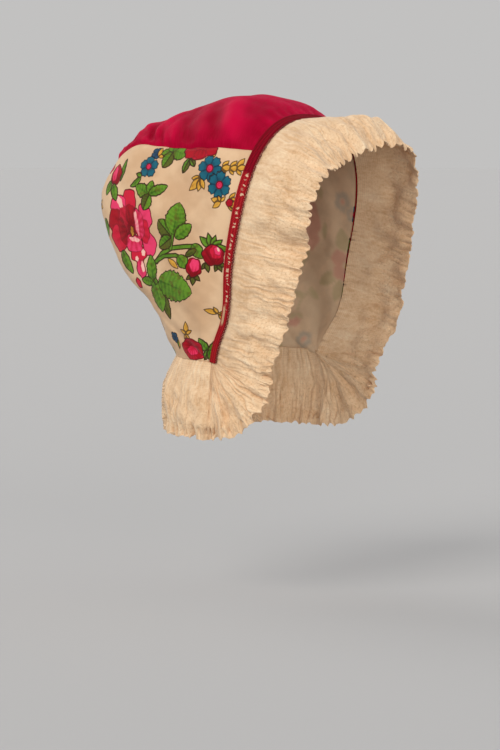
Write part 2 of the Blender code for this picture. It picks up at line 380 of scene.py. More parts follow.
@dataclass(frozen=True)
class Leaf:
    """A toothed leaf, its shaded half to the right of its midrib."""

    base: Spot
    tip: Spot
    width: float
    teeth: int = 4
    face: Ink = Ink.LEAF
    shade: Ink = Ink.LEAF
    bend: float = 0.0

    def stamp(self, cloth: Printing) -> None:
        """Prints the leaf."""
        share, beside, length = cloth.axes(self.base, self.tip)
        inside = np.clip(share, 0, 1)
        beside = beside - self.bend * length * 4 * inside * (1 - inside)
        side = np.where(beside > 0, 1.0, 0.0)
        lobe = 0.5 + 0.5 * np.cos(2 * math.pi * (inside * (self.teeth + 0.5) + 0.3 * side))
        tooth = (inside * self.teeth * 3) % 1 if self.teeth else np.zeros_like(inside)
        ragged = 1.04 - (0.09 * lobe + 0.11 * tooth) * min(self.teeth, 1)
        edge = self.width * np.sin(math.pi * inside**0.88) ** (0.62 if self.teeth else 0.95) * ragged
        distance = (np.abs(beside) - edge) * 0.9
        past = np.maximum(-share, share - 1) * length
        distance = np.where(past > 0, np.hypot(past, beside), distance)
        vein = np.sin(2 * math.pi * (inside * (self.teeth + 1.5) - np.abs(beside) / self.width * 0.8))
        tone = 0.56 + 0.2 * side + 0.13 * vein + 0.25 * (inside - 0.5)
        tone -= 0.5 * bell(beside / 0.55) * (1 - inside) * min(self.teeth, 1)
        cloth.lay(self.face, distance, tone)
        if self.shade is not self.face:
            cloth.lay(self.shade, np.maximum(distance, beside + 0.05), tone)


@dataclass(frozen=True)
class Petal:
    """A rounded, wavy petal, shaded towards the heart of its flower."""

    center: Spot
    radius: Spot
    color: Ink
    heart: Spot
    tilt: float = 0.0
    wave: float = 0.06
    covers: bool = True

    def stamp(self, cloth: Printing) -> None:
        """Prints the petal."""
        cosine, sine = math.cos(math.radians(self.tilt)), math.sin(math.radians(self.tilt))
        x, y = cloth.x - self.center[0], cloth.y - self.center[1]
        x, y = (x * cosine + y * sine) / self.radius[0], (y * cosine - x * sine) / self.radius[1]
        round_ = np.hypot(x, y)
        steep = np.hypot(x / self.radius[0], y / self.radius[1]) + 1e-9
        angle = np.arctan2(y, x)
        waves = np.sin(5 * angle + self.center[0]) + 0.4 * np.sin(9 * angle)
        hx, hy = cloth.x - self.heart[0], cloth.y - self.heart[1]
        from_heart = np.hypot(hx, hy) / (max(self.radius) * 2.4)
        streaks = 0.18 * np.sin(np.arctan2(hy, hx) * 17 + self.center[1])
        distance = round_ * (round_ - self.wave * waves - 1) / steep
        cloth.lay(self.color, distance, np.clip(from_heart + streaks, 0, 1), self.covers)


@dataclass(frozen=True)
class Blossom:
    """A small open flower of round petals with a pink eye."""

    center: Spot
    radius: float
    color: Ink = Ink.BLUE
    petals: int = 5
    turned: float = 0.3
    eye: float = 0.27

    def stamp(self, cloth: Printing) -> None:
        """Prints the flower."""
        x, y = cloth.x - self.center[0], cloth.y - self.center[1]
        away, angle = np.hypot(x, y), np.arctan2(y, x) + self.turned
        lobe = np.abs(np.cos(angle * self.petals / 2)) ** 0.55
        edge = self.radius * (0.72 + 0.26 * lobe + 0.04 * np.cos(angle * self.petals * 3))
        groove = smooth(lobe * 1.5 - 0.15) * (0.45 + 0.55 * smooth(away / self.radius * 1.3 - 0.2))
        cloth.lay(self.color, (away - edge) * 0.85, groove)
        if self.eye:
            cloth.lay(Ink.PINK, away - self.radius * self.eye, 0.5)
            cloth.lay(Ink.WINE, np.abs(away - self.radius * self.eye * 0.4) - 0.3, 0.3, False)


@dataclass(frozen=True)
class Spray:
    """Small pointed leaves that all start from one place."""

    base: Spot
    tips: tuple[Spot, ...]
    color: Ink = Ink.OCHRE
    slim: float = 0.27

    def stamp(self, cloth: Printing) -> None:
        """Prints the leaves one by one."""
        for tip in self.tips:
            width = 0.88 * self.slim * math.dist(self.base, tip)
            Leaf(self.base, tip, width, teeth=0, face=self.color, shade=self.color).stamp(cloth)


@dataclass(frozen=True)
class Stem:
    """A stem through a few places."""

    places: tuple[Spot, ...]
    width: float = 1.3
    color: Ink = Ink.LEAF

    def stamp(self, cloth: Printing) -> None:
        """Prints the stem."""
        distance = np.full(cloth.x.shape, FAR_MM)
        for start, end in zip(self.places, self.places[1:]):
            share, beside, length = cloth.axes(start, end)
            past = np.maximum(np.abs(share - 0.5) - 0.5, 0) * length
            distance = np.minimum(distance, np.hypot(past, beside) - self.width)
        cloth.lay(self.color, distance, 0.6, parted=0.0)


Motif = Leaf | Petal | Blossom | Spray | Stem
ROSE_HEART = (-58.5, 86.5)
BUD_HEART = (5.5, 64.0)
LOW_ROSE_HEART = (-15.0, 10.0)
FAR_ROSE_HEART = (-99.0, 60.0)

MEADOW: tuple[Motif, ...] = (
    # A big open rose, with leaves behind it
    Leaf((-68, 72), (-60, 57), 3.6, 3),
    Leaf((-83, 90), (-82, 78), 2.6, 2),
    Petal((-60.0, 103.0), (6.3, 7.0), Ink.ROSE, ROSE_HEART),
    Petal((-69.5, 99.0), (7.2, 7.0), Ink.PINK, ROSE_HEART, 25),
    Petal((-73.0, 89.0), (6.2, 8.5), Ink.WINE, ROSE_HEART, -10),
    Petal((-70.5, 79.0), (6.8, 8.5), Ink.ROSE, ROSE_HEART, 15),
    Petal((-46.0, 94.5), (5.8, 8.0), Ink.PINK, ROSE_HEART, 12),
    Petal((-44.0, 77.0), (6.0, 7.5), Ink.PINK, ROSE_HEART, -8),
    Petal((-47.5, 85.5), (4.8, 7.5), Ink.ROSE, ROSE_HEART),
    Petal((-54.0, 70.5), (6.6, 5.2), Ink.ROSE, ROSE_HEART, 10),
    Petal((-52.5, 60.5), (3.6, 6.5), Ink.PINK, (-54, 72), 8),
    Petal((-58.0, 77.5), (8.0, 5.8), Ink.PINK, ROSE_HEART, -8),
    Petal((-64.5, 91.5), (5.2, 9.0), Ink.ROSE, ROSE_HEART, 8),
    Petal((-67.0, 84.0), (3.6, 8.5), Ink.WINE, ROSE_HEART, 14),
    Petal((-52.0, 89.5), (4.6, 9.5), Ink.PINK, ROSE_HEART, 6),
    Petal((-58.8, 94.5), (4.4, 6.5), Ink.WINE, ROSE_HEART, 4),
    Petal((-59.0, 86.5), (3.4, 6.2), Ink.WINE, ROSE_HEART, 0, 0.1),
    Petal((-58.6, 84.8), (1.7, 3.4), Ink.OCHRE, ROSE_HEART, 0, 0.12),
    Petal((-53.8, 90.0), (1.5, 7.5), Ink.BLUSH, ROSE_HEART, 8, 0.1, False),
    Petal((-68.5, 101.5), (2.2, 3.6), Ink.BLUSH, ROSE_HEART, 30, 0.1, False),
    Petal((-57.0, 79.8), (4.6, 1.5), Ink.BLUSH, ROSE_HEART, -6, 0.1, False),
    Petal((-50.0, 71.8), (1.5, 2.2), Ink.BLUSH, ROSE_HEART, 0, 0.1, False),
    Petal((-55.5, 67.5), (1.3, 1.7), Ink.BLUSH, ROSE_HEART, 0, 0.1, False),
    Petal((-51.0, 62.5), (1.4, 3.6), Ink.BLUSH, (-54, 72), 6, 0.1, False),
    Petal((-56.5, 50.5), (2.0, 3.8), Ink.ROSE, (-54, 72), 10),
    # A bud above it
    Leaf((-76, 112), (-72, 102), 3.2, 3),
    Leaf((-79, 114), (-81.5, 104.5), 2.8, 3),
    Leaf((-70, 114), (-67.5, 128.5), 1.9, 3),
    Petal((-75.0, 118.0), (5.2, 6.4), Ink.WINE, (-75, 110)),
    Petal((-76.2, 118.5), (2.3, 5.0), Ink.PINK, (-75, 110)),
    Petal((-85.5, 123.0), (4.2, 3.4), Ink.ROSE, (-80, 124)),
    Leaf((-51.5, 118.5), (-59.5, 111.5), 2.0, 2, bend=0.12),
    Leaf((-51.0, 118.5), (-56.0, 119.5), 1.4, 0),
    # Blue flowers
    Blossom((-44.0, 134.0), 4.2, Ink.NAVY, 5, 0.1, 0.0),
    Spray((-42.0, 131.5), ((-37.0, 137.0), (-41.5, 138.5), (-36.5, 133.0))),
    Blossom((-47.0, 124.5), 7.0, Ink.BLUE, 5, 0.9),
    Spray((1.5, 130.5), ((-1.5, 138.0), (2.5, 137.0))),
    Spray((10.0, 125.5), ((14.0, 130.0), (13.0, 121.8), (17.0, 125.2)), slim=0.3),
    Spray((15.5, 125.5), ((19.5, 130.2), (18.5, 121.0), (22.5, 125.0)), slim=0.3),
    Spray((20.5, 125.5), ((24.5, 132.0), (24.0, 120.8), (27.5, 126.0)), slim=0.3),
    Blossom((1.5, 124.5), 8.6, Ink.BLUE, 6, 0.2),
    Blossom((9.5, 114.8), 8.4, Ink.BLUE, 6, 0.6),
    Spray((-3.8, 118.3), ((-11.5, 118.5), (-12.5, 111.0), (-5.8, 110.5), (-1.2, 111.8)), slim=0.25),
    Spray((11.5, 104.8), ((4.0, 106.5), (5.5, 101.0), (9.0, 108.6), (14.5, 108.0)), slim=0.28),
    Spray((17.0, 105.5), ((21.5, 110.5), (24.0, 106.0), (19.5, 99.0), (23.5, 100.5)), slim=0.25),
    Petal((17.6, 104.2), (2.4, 2.3), Ink.ROSE, (17.6, 104.2)),
    # Leaves and half a rose at the crown seam
    Leaf((-31.0, 137.0), (-40.5, 134.0), 3.2, 3),
    Leaf((-31.5, 135.0), (-36.5, 124.8), 4.6, 4, Ink.MOSS, Ink.LEAF),
    Leaf((-31.0, 137.0), (-19.5, 133.5), 5.6, 4),
    Leaf((-32.0, 136.0), (-33.5, 143.5), 4.4, 3),
    Leaf((-15.5, 131.0), (-19.8, 121.8), 2.8, 3, Ink.MOSS, Ink.LEAF),
    Leaf((-15.0, 131.0), (-10.0, 125.6), 2.2, 2, Ink.MOSS, Ink.LEAF),
    Petal((-9.0, 138.0), (12.4, 7.8), Ink.ROSE, (-9, 142), 0, 0.09),
    Petal((-16.0, 134.5), (4.6, 3.6), Ink.WINE, (-9, 142), 20),
    Petal((-8.5, 133.8), (4.4, 3.4), Ink.WINE, (-9, 142)),
    Petal((-0.5, 136.5), (4.0, 3.6), Ink.WINE, (-9, 142)),
    # A leaf of four lobes
    Leaf((-42.5, 107.5), (-54.5, 112.0), 4.4, 4),
    Leaf((-43.0, 108.5), (-42.0, 116.0), 3.0, 2),
    Leaf((-42.5, 107.5), (-46.8, 98.5), 4.4, 4, Ink.LEAF, Ink.MOSS),
    Leaf((-43.0, 108.0), (-30.0, 113.5), 3.4, 4),
    # The spray of leaves and buds in the middle
    Stem(((-39, 66), (-33, 72), (-25, 75.6), (-14, 76.8), (-5, 77.0)), 1.5),
    Stem(((-40, 66), (-32, 70.0), (-22, 70.8), (-14, 67.5)), 1.3),
    Stem(((-26, 75), (-24, 82), (-22.5, 88)), 1.2),
    Leaf((-25.0, 83.0), (-34.5, 92.8), 5.6, 5, Ink.MOSS, Ink.LEAF),
    Leaf((-25.0, 82.0), (-35.5, 75.6), 4.6, 4, Ink.MOSS, Ink.LEAF),
    Leaf((-23.0, 84.5), (-18.8, 103.5), 8.0, 6),
    Leaf((-21.5, 82.0), (-9.8, 90.6), 4.2, 4),
    Leaf((-9.0, 78.5), (-2.0, 69.0), 4.4, 2),
    Leaf((-20.0, 70.5), (-12.5, 62.5), 4.4, 2),
    Leaf((-14.5, 70.5), (-6.5, 75.0), 2.3, 2, Ink.MOSS, Ink.MOSS),
    Spray((-28.5, 68.5), ((-19.5, 62.0),), slim=0.2),
    Spray((0.5, 66.5), ((-2.8, 61.8), (1.5, 59.8)), Ink.MOSS),
    Spray((8.5, 66.5), ((5.8, 60.5), (10.5, 60.3), (14.0, 63.8)), Ink.MOSS),
    Spray(
        (5.0, 76.0),
        ((-4.0, 83.6), (2.4, 86.0), (8.4, 84.6), (13.0, 81.6), (17.5, 75.4)),
        Ink.LEAF,
        0.24,
    ),
    Petal((5.6, 71.2), (7.9, 6.9), Ink.WINE, BUD_HEART),
    Petal((7.6, 73.4), (4.4, 4.6), Ink.ROSE, BUD_HEART, 20),
    Petal((8.9, 74.2), (2.3, 2.9), Ink.PINK, BUD_HEART, 20),
    Petal((9.6, 75.2), (0.8, 1.5), Ink.BLUSH, BUD_HEART, 20, 0.1, False),
    Spray((-8.5, 58.5), ((-13.5, 55.0), (-9.2, 51.2), (-4.2, 54.2)), Ink.MOSS),
    Petal((-8.5, 63.0), (5.4, 6.3), Ink.WINE, (-8.5, 56)),
    Petal((-7.8, 64.4), (3.4, 4.4), Ink.PINK, (-8.5, 56)),
    # Big leaves below
    Leaf((-43.0, 52.0), (-44.0, 70.5), 4.6, 3),
    Leaf((-43.5, 52.0), (-53.5, 53.5), 3.4, 3),
    Leaf((-35.5, 48.5), (-31.0, 27.8), 3.3, 4, Ink.MOSS, Ink.MOSS),
    Leaf((-42.0, 53.5), (-37.0, 32.5), 6.6, 5),
    Leaf((-37.8, 54.0), (-10.5, 46.0), 10.8, 7),
    Blossom((-40.5, 53.0), 1.9, Ink.LEAF, 4, 0.0, 0.0),
    # Small sprigs and a rose at the corner
    Spray(
        (-18.8, 18.0),
        ((-18.4, 26.5), (-23.6, 21.0), (-14.0, 20.6), (-22.0, 14.6), (-16.0, 14.0)),
        slim=0.24,
    ),
    Spray((4.0, 32.6), ((-4.0, 35.2), (8.4, 27.2), (12.8, 33.0), (1.6, 37.0)), slim=0.24),
    Stem(((4.0, 32.6), (9.0, 34.5), (9.6, 39.4)), 0.55, Ink.OCHRE),
    Blossom((-31.5, 15.5), 3.6, Ink.NAVY, 5, 0.5, 0.0),
    Leaf((-28.5, 14.0), (-31.0, 8.0), 1.8, 0, Ink.OCHRE, Ink.LEAF),
    Leaf((-0.5, 7.0), (-8.6, 15.4), 3.0, 3),
    Leaf((-0.5, 7.0), (6.8, 15.6), 2.6, 3),
    Leaf((-0.5, 8.0), (-5.0, 1.0), 2.4, 2, Ink.MOSS, Ink.LEAF),
    Leaf((-0.5, 8.0), (1.0, 0.0), 2.2, 2),
    Petal((-15.0, 7.8), (10.4, 7.0), Ink.ROSE, LOW_ROSE_HEART, -12),
    Petal((-20.0, 9.5), (4.4, 3.8), Ink.WINE, LOW_ROSE_HEART, 10),
    Petal((-9.5, 6.5), (4.2, 3.8), Ink.WINE, LOW_ROSE_HEART),
    Petal((-15.0, 7.0), (4.4, 3.0), Ink.PINK, LOW_ROSE_HEART, -10),
    # Towards the back of the head
    Leaf((-98.0, 70.0), (-96.0, 86.0), 6.0, 5),
    Leaf((-100.0, 70.0), (-110.0, 80.0), 4.6, 4, Ink.MOSS, Ink.LEAF),
    Leaf((-92.0, 55.0), (-78.0, 47.0), 5.2, 5),
    Leaf((-94.0, 50.0), (-90.0, 35.0), 4.4, 4, Ink.MOSS, Ink.LEAF),
    Petal((-104.0, 64.0), (6.2, 6.8), Ink.ROSE, FAR_ROSE_HEART, 15),
    Petal((-94.0, 65.0), (6.2, 6.4), Ink.PINK, FAR_ROSE_HEART, -10),
    Petal((-95.0, 55.5), (6.4, 5.8), Ink.ROSE, FAR_ROSE_HEART, 10),
    Petal((-104.0, 55.0), (5.8, 6.2), Ink.PINK, FAR_ROSE_HEART),
    Petal((-99.0, 60.5), (5.0, 5.4), Ink.WINE, FAR_ROSE_HEART),
    Petal((-98.8, 60.2), (1.9, 2.1), Ink.OCHRE, FAR_ROSE_HEART),
    Petal((-92.0, 66.5), (1.4, 3.4), Ink.BLUSH, FAR_ROSE_HEART, -30, 0.1, False),
    Blossom((-98.0, 103.0), 7.4, Ink.BLUE, 5, 0.4),
    Blossom((-105.5, 95.0), 5.6, Ink.BLUE, 5, 0.8),
    Spray((-92.0, 98.0), ((-87.5, 101.5), (-86.5, 96.0), (-90.0, 92.5))),
    Spray((-98.0, 118.0), ((-103.0, 122.0), (-97.5, 125.0), (-93.0, 121.0), (-98.0, 112.8))),
    Leaf((-90.0, 128.0), (-84.0, 138.0), 3.6, 3),
    Stem(((-72, 44), (-66, 36), (-64, 27)), 1.0),
    Leaf((-71, 43), (-78, 36), 3.0, 3),
    Leaf((-68, 38), (-58, 41), 2.8, 3),
    Petal((-63.5, 22.0), (4.8, 5.6), Ink.WINE, (-63.5, 30)),
    Petal((-62.8, 21.4), (2.8, 3.8), Ink.PINK, (-63.5, 30)),
    Spray((-64, 27), ((-69.5, 22.5), (-58.5, 21.5)), Ink.MOSS),
    Spray((-84.0, 20.0), ((-89.0, 24.0), (-84.0, 27.0), (-79.0, 22.5), (-86.0, 14.5), (-80.5, 15.0))),
    Spray((-48.0, 22.0), ((-52.5, 26.0), (-47.0, 28.0), (-44.5, 21.5), (-50.0, 16.5))),
    Blossom((-74.0, 8.0), 6.2, Ink.BLUE, 5, 0.1),
    Blossom((-106.0, 28.0), 6.0, Ink.BLUE, 5, 0.1),
    Leaf((-46.0, 8.0), (-56.0, 3.0), 3.4, 3),
)


@dataclass(frozen=True)
class Section:
    """One section of the dome, in shares of its named sizes."""

    turn: float
    reach: float
    width: float
    seam: float
    ear: float
    square: float


@dataclass(frozen=True)
class Dome:
    """The form that the cloth takes on a head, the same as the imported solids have."""

    height: float = 0.175
    half_width: float = 0.077
    corner_half_width: float = 0.064
    corner_forward: float = 0.010
    face_lean: float = math.radians(12)
    neck_turn: float = math.radians(87)
    face_bow: float = 0.0036
    jaw_forward: float = 0.0047
    jaw_place: float = 0.84
    jaw_spread: float = 0.12
    seam_waver: float = 0.0005
    seam_waves: float = 0.013
    ease: float = 0.03
    top_bow: float = 0.7
    sections: tuple[Section, ...] = (
        Section(0.00, 0.952, 0.95, 0.755, 0.50, 2.5),
        Section(0.14, 1.000, 0.98, 0.820, 0.48, 2.4),
        Section(0.27, 0.980, 1.00, 0.785, 0.47, 2.5),
        Section(0.43, 0.965, 0.96, 0.650, 0.50, 3.5),
        Section(0.59, 0.835, 0.90, 0.390, 0.47, 3.5),
        Section(0.67, 0.665, 0.84, 0.330, 0.37, 2.1),
        Section(0.75, 0.495, 0.83, 0.315, 0.28, 1.9),
        Section(0.83, 0.395, 0.84, 0.310, 0.22, 2.0),
        Section(1.00, 0.325, 0.85, 0.310, 0.08, 2.0),
    )

    def depth(self) -> float:
        """How far the corners lie below the origin, which is on the inside of the crown."""
        return self.height + PUFF - WALL

    def column(self, name: str, turn: Array) -> Array:
        """One column of the sections at these turns, eased so that no row shows as a crease."""
        return sum(self.curve(name, turn + shift) for shift in (-self.ease, 0.0, self.ease)) / 3

    def curve(self, name: str, turn: Array) -> Array:
        """One column of the sections at these turns, on a curve through its rows."""
        turns = np.array([row.turn for row in self.sections])
        values = np.array([getattr(row, name) for row in self.sections])
        slopes = np.gradient(values, turns)
        turn = np.clip(turn, 0.0, 1.0)
        i = np.clip(np.searchsorted(turns, turn) - 1, 0, len(turns) - 2)
        step = turns[i + 1] - turns[i]
        t = (turn - turns[i]) / step
        value = (2 * t**3 - 3 * t**2 + 1) * values[i] + (3 * t**2 - 2 * t**3) * values[i + 1]
        return value + ((t**3 - 2 * t**2 + t) * slopes[i] + (t**3 - t**2) * slopes[i + 1]) * step

    def sizes(self, turn: Array) -> tuple[Array, Array, Array]:
        """Reach, half-width and ear height of the sections at these turns."""
        reach = self.column("reach", turn) * self.height
        return reach, self.column("width", turn) * self.half_width, self.column("ear", turn) * reach

    def angle(self, turn: Array) -> Array:
        """How far a section leans back from upright."""
        return -self.face_lean + turn * (self.neck_turn + self.face_lean)

    def lengths(self, turn: Array) -> tuple[Array, Array]:
        """Lengths of a section from its middle to the ear and from the ear to the corner."""
        reach, width, ear = self.sizes(turn)
        return math.pi / 4 * (width + reach - ear), ear

    def half_length(self, turn: Array) -> Array:
        """Length of a section from its middle to the corner."""
        return sum(self.lengths(turn))

    def front_length(self) -> float:
        """Length of the face edge from its top to a corner."""
        return float(self.half_length(np.array(0.0)))

    def point(self, turn: Array, across: Array) -> Array:
        """Points of the dome.

        Args:
            turn: 0 at the face edge and 1 at the neck edge.
            across: -1 at the right corner, 0 in the middle and 1 at the left corner.

        Returns:
            The points, one row each.
        """
        turn, across = np.broadcast_arrays(np.asarray(turn, float), np.asarray(across, float))
        reach, width, ear = self.sizes(turn)
        upper = math.pi / 4 * (width + reach - ear)
        share = upper / (upper + ear)
        part = np.minimum(np.abs(across), 1.0)
        square = self.column("square", turn)
        bend = np.clip(part / share, 0, 1) * math.pi / 2
        sine, cosine = np.abs(np.sin(bend)), np.abs(np.cos(bend))
        radius = (sine**square + cosine**square) ** (-1 / square)
        low = np.clip((part - share) / (1 - share), 0, 1)
        above = part < share
        drawn_in = width + (self.corner_half_width - width) * low**2
        sideways = np.where(above, width * radius * sine, drawn_in)
        height = np.where(above, ear + (reach - ear) * radius * cosine, ear * (1 - low))
        jaw_bow = np.sin(math.pi * part**1.6)
        jaw = self.jaw_forward * bell((part - self.jaw_place) / self.jaw_spread)
        jaw = jaw * smooth((1 - part) * 7)
        bow = self.face_bow * (jaw_bow - self.top_bow * (1 - smooth(part * 2))) + jaw
        bow = bow * (1 - np.clip(turn, 0, 1)) ** 3
        lean = self.angle(turn)
        y = np.sin(lean) * height - self.corner_forward - bow
        z = np.cos(lean) * height - self.depth()
        return np.stack([np.copysign(sideways, across), y, z], -1)

    def directions(self, turn: Array, across: Array) -> tuple[Array, Array]:
        """The dome's directions towards the nape and outwards."""
        turn = np.clip(turn, STEP, 1 - STEP)
        across = np.clip(across, -1 + 2 * STEP, 1 - 2 * STEP)
        back = unit(self.point(turn + STEP, across) - self.point(turn - STEP, across))
        left = self.point(turn, across + STEP) - self.point(turn, across - STEP)
        return back, unit(np.cross(left, back))

    def across_at(self, turn: Array, sideways: Array) -> Array:
        """Where the dome is this far from its middle, as a value of across."""
        upper, lower = self.lengths(turn)
        low, high = np.zeros_like(upper), upper / (upper + lower)
        for _ in range(26):
            middle = (low + high) / 2
            less = self.point(turn, middle)[..., 0] < sideways
            low, high = np.where(less, middle, low), np.where(less, high, middle)
        return low

    def seam(self, turn: Array) -> Array:
        """Where the seam beside the crown strip lies, as a value of across."""
        rows = np.linspace(0, 1, 241)
        seams = self.across_at(rows, self.column("seam", rows) * self.half_width)
        waver = self.seam_waver * wander(rows * self.height, self.seam_waves, 41)
        seams += waver / self.half_length(rows)
        return np.interp(np.clip(turn, 0, 1), rows, seams)


def unit(vectors: Array) -> Array:
    """The vectors at length 1."""
    return vectors / np.maximum(np.linalg.norm(vectors, axis=-1, keepdims=True), 1e-12)


def fan(angle: Array | float) -> Array:
    """Directions at these angles from upright, turning to the back."""
    return np.stack([np.zeros_like(angle), np.sin(angle), np.cos(angle)], -1)


def add_piece(name: str, shape: bmesh.types.BMesh) -> bpy.types.Object:
    """Turns a finished shape into an object of the scene."""
    mesh = bpy.data.meshes.new(name)
    shape.to_mesh(mesh)
    shape.free()
    piece = bpy.data.objects.new(name, mesh)
    bpy.context.scene.collection.objects.link(piece)
    return piece


Surface = Callable[[Array, Array], Array]


@dataclass
class Cloth:
    """A closed wall of cloth with a fine face and a coarser reverse, laid on a surface."""

    name: str
    surface: Surface
    face_steps: tuple[int, int]
    back_steps: tuple[int, int]
    thickness: float
    u: Array = field(init=False, repr=False)
    v: Array = field(init=False, repr=False)
    piece: bpy.types.Object = field(init=False, repr=False)

    def __post_init__(self) -> None:
        """Makes the wall from two grids joined at their rims, and lays it on its surface."""
        shape = bmesh.new()
        columns, rows = self.face_steps
        bmesh.ops.create_grid(shape, x_segments=columns, y_segments=rows, size=1.0)
        columns, rows = self.back_steps
        under = Matrix.Translation((0, 0, -1))
        back = bmesh.ops.create_grid(shape, x_segments=columns, y_segments=rows, size=1.0, matrix=under)
        for polygon in {polygon for vertex in back["verts"] for polygon in vertex.link_faces}:
            polygon.material_index = 1
        bmesh.ops.bridge_loops(shape, edges=[edge for edge in shape.edges if edge.is_boundary])
        bmesh.ops.recalc_face_normals(shape, faces=shape.faces[:])
        self.piece = add_piece(self.name, shape)
        mesh = self.piece.data
        flat = np.empty(len(mesh.vertices) * 3, np.float32)
        mesh.vertices.foreach_get("co", flat)
        flat = flat.reshape(-1, 3).astype(float)
        self.u, self.v = (flat[:, 0] + 1) / 2, (flat[:, 1] + 1) / 2
        inwards = self.normals() * (flat[:, 2] * self.thickness)[:, None]
        points = self.surface(self.u, self.v) + inwards
        mesh.vertices.foreach_set("co", points.astype(np.float32).ravel())
        mesh.shade_smooth()
        mesh.set_sharp_from_angle(angle=CREASED)
        mesh.update()

    def normals(self) -> Array:
        """Directions straight off the surface, at every point of the wall."""
        u, v = np.clip(self.u, STEP, 1 - STEP), np.clip(self.v, STEP, 1 - STEP)
        along = self.surface(u + STEP, v) - self.surface(u - STEP, v)
        return unit(np.cross(along, self.surface(u, v + STEP) - self.surface(u, v - STEP)))

    def give_map(self, across: Array, along: Array) -> None:
        """Lays a UV map that follows the cloth, one unit of it being MAP_SPAN of cloth."""
        mesh = self.piece.data
        layer = mesh.uv_layers.new(name="Cloth")
        corners = np.empty(len(mesh.loops), np.int32)
        mesh.loops.foreach_get("vertex_index", corners)
        spread = np.stack([across, along], -1)[corners] / MAP_SPAN + 0.5
        layer.data.foreach_set("uv", spread.astype(np.float32).ravel())

    def give_values(self, name: str, values: Array) -> None:
        """Adds a named value to each point of the cloth."""
        attribute = self.piece.data.attributes.new(name, "FLOAT", "POINT")
        attribute.data.foreach_set("value", values.astype(np.float32))

    def area(self) -> float:
        """Area of the face of the cloth."""
        return sum(polygon.area for polygon in self.piece.data.polygons if not polygon.material_index)

    def dress(self, face: Finish, back: Finish) -> None:
        """Puts on the finish of the face and of the reverse."""
        for finish in (face, back):
            self.piece.data.materials.append(finish.material)


THREAD_SIDES = 4
LOOP_STEPS = 6


@dataclass(frozen=True)
class Hump:
    """One round ridge along the braid, in shares of its width and of how far it stands proud."""

    place: float
    half_width: float
    height: float

    def rise(self, v: Array) -> Array:
        """How high the ridge stands at these shares of the width."""
        return self.height * np.sqrt(np.clip(1 - ((v - self.place) / self.half_width) ** 2, 0, 1))


@dataclass(frozen=True)
class Braid:
    """The braid along the face edge: a plain rib, a flecked band and a row of loops."""

    dome: Dome
    width: float = 0.0052
    corner_width: float = 0.0026
    narrows_from: float = 0.42  # as a value of across
    narrows_over: float = 0.54
    lap: float = 0.0010
    proud: float = 0.0008
    thickness: float = 0.0004
    off_cloth: float = 0.00012
    rib: Hump = Hump(0.2, 0.2, 0.8)
    band: Hump = Hump(0.7, 0.31, 0.55)
    plait_pitch: float = 0.0022
    plait_depth: float = 0.16
    loop_pitch: float = 0.0021
    loop_radius: float = 0.00095
    thread: float = 0.00034

    def narrowed(self, across: Array) -> Array:
        """How far the braid has come from its whole width, at 0, to its width at a corner, at 1."""
        return smooth((np.abs(across) - self.narrows_from) / self.narrows_over)

    def width_at(self, across: Array) -> Array:
        """The braid's width, which narrows towards the lower corners."""
        return self.width + (self.corner_width - self.width) * self.narrowed(across)

    def surface(self, u: Array, v: Array) -> Array:
        """The braid's outside: u from the left corner over the top to the right, v towards the lace."""
        across = 1 - 2 * u
        back, normal = self.dome.directions(np.zeros_like(u), across)
        turns = across * self.dome.front_length() / self.plait_pitch + v * 1.6
        plait = self.plait_depth * np.sin(2 * math.pi * turns) * smooth(v * 3 - 1.2)
        edge = self.dome.point(np.zeros_like(u), across)
        away = v * (self.width_at(across) + 1.8 * self.lap) - self.lap
        humps = np.maximum(self.rib.rise(v), self.band.rise(v))
        lift = self.proud * humps * (1 + plait) + self.thickness + self.off_cloth
        return edge - back * away[:, None] + normal * lift[:, None]

    def loop(self, shape: bmesh.types.BMesh, radius: float, made: int) -> list[bmesh.types.BMVert]:
        """Adds half a ring of thread, with both ends beside the origin.

        Args:
            shape: the loops so far.
            radius: radius of the ring.
            made: how many loops the shape has.

        Returns:
            The vertices of the new loop.
        """
        start = bmesh.ops.create_circle(shape, segments=THREAD_SIDES, radius=self.thread)["verts"]
        upright = Matrix.Translation((radius, 0, 0)) @ Matrix.Rotation(math.pi / 2, 4, "X")
        bmesh.ops.transform(shape, matrix=upright, verts=start)
        rim = {edge for vertex in start for edge in vertex.link_edges}
        sweep = {"angle": math.pi, "steps": LOOP_STEPS, "axis": (0, 0, 1), "cent": (0, 0, 0)}
        bmesh.ops.spin(shape, geom=[*start, *rim], use_merge=False, **sweep)
        shape.verts.ensure_lookup_table()
        return shape.verts[made * THREAD_SIDES * (LOOP_STEPS + 1) :]

    def loops(self) -> bpy.types.Object:
        """Makes the row of thread loops that holds the braid to the lace."""
        shape = bmesh.new()
        count = round(2 * self.dome.front_length() / self.loop_pitch)
        rng = np.random.default_rng(7)
        across = 1 - 2 * (np.arange(count) + 0.5 + rng.uniform(-0.16, 0.16, count)) / count
        back, normal = self.dome.directions(np.zeros(count), across)
        away = self.width_at(across) + 0.9 * self.lap
        edges = self.dome.point(np.zeros(count), across) - back * away[:, None]
        for i in range(count):
            ring = self.loop(shape, self.loop_radius * rng.uniform(0.85, 1.2), i)
            ahead, up = Vector(-back[i]), Vector(normal[i])
            rise = self.thickness + self.proud * rng.uniform(0.15, 0.5)
            place = Matrix.Translation(Vector(edges[i]) + up * rise)
            side = ahead.cross(up).normalized()
            frame = Matrix((side, ahead, side.cross(ahead) * -1)).transposed().to_4x4()
            turn = Matrix.Rotation(rng.uniform(-0.35, 0.35), 4, "Z")
            bmesh.ops.transform(shape, matrix=place @ frame @ turn, verts=ring)
        bmesh.ops.recalc_face_normals(shape, faces=shape.faces[:])
        piece = add_piece("braid_loops", shape)
        piece.data.shade_smooth()
        return piece


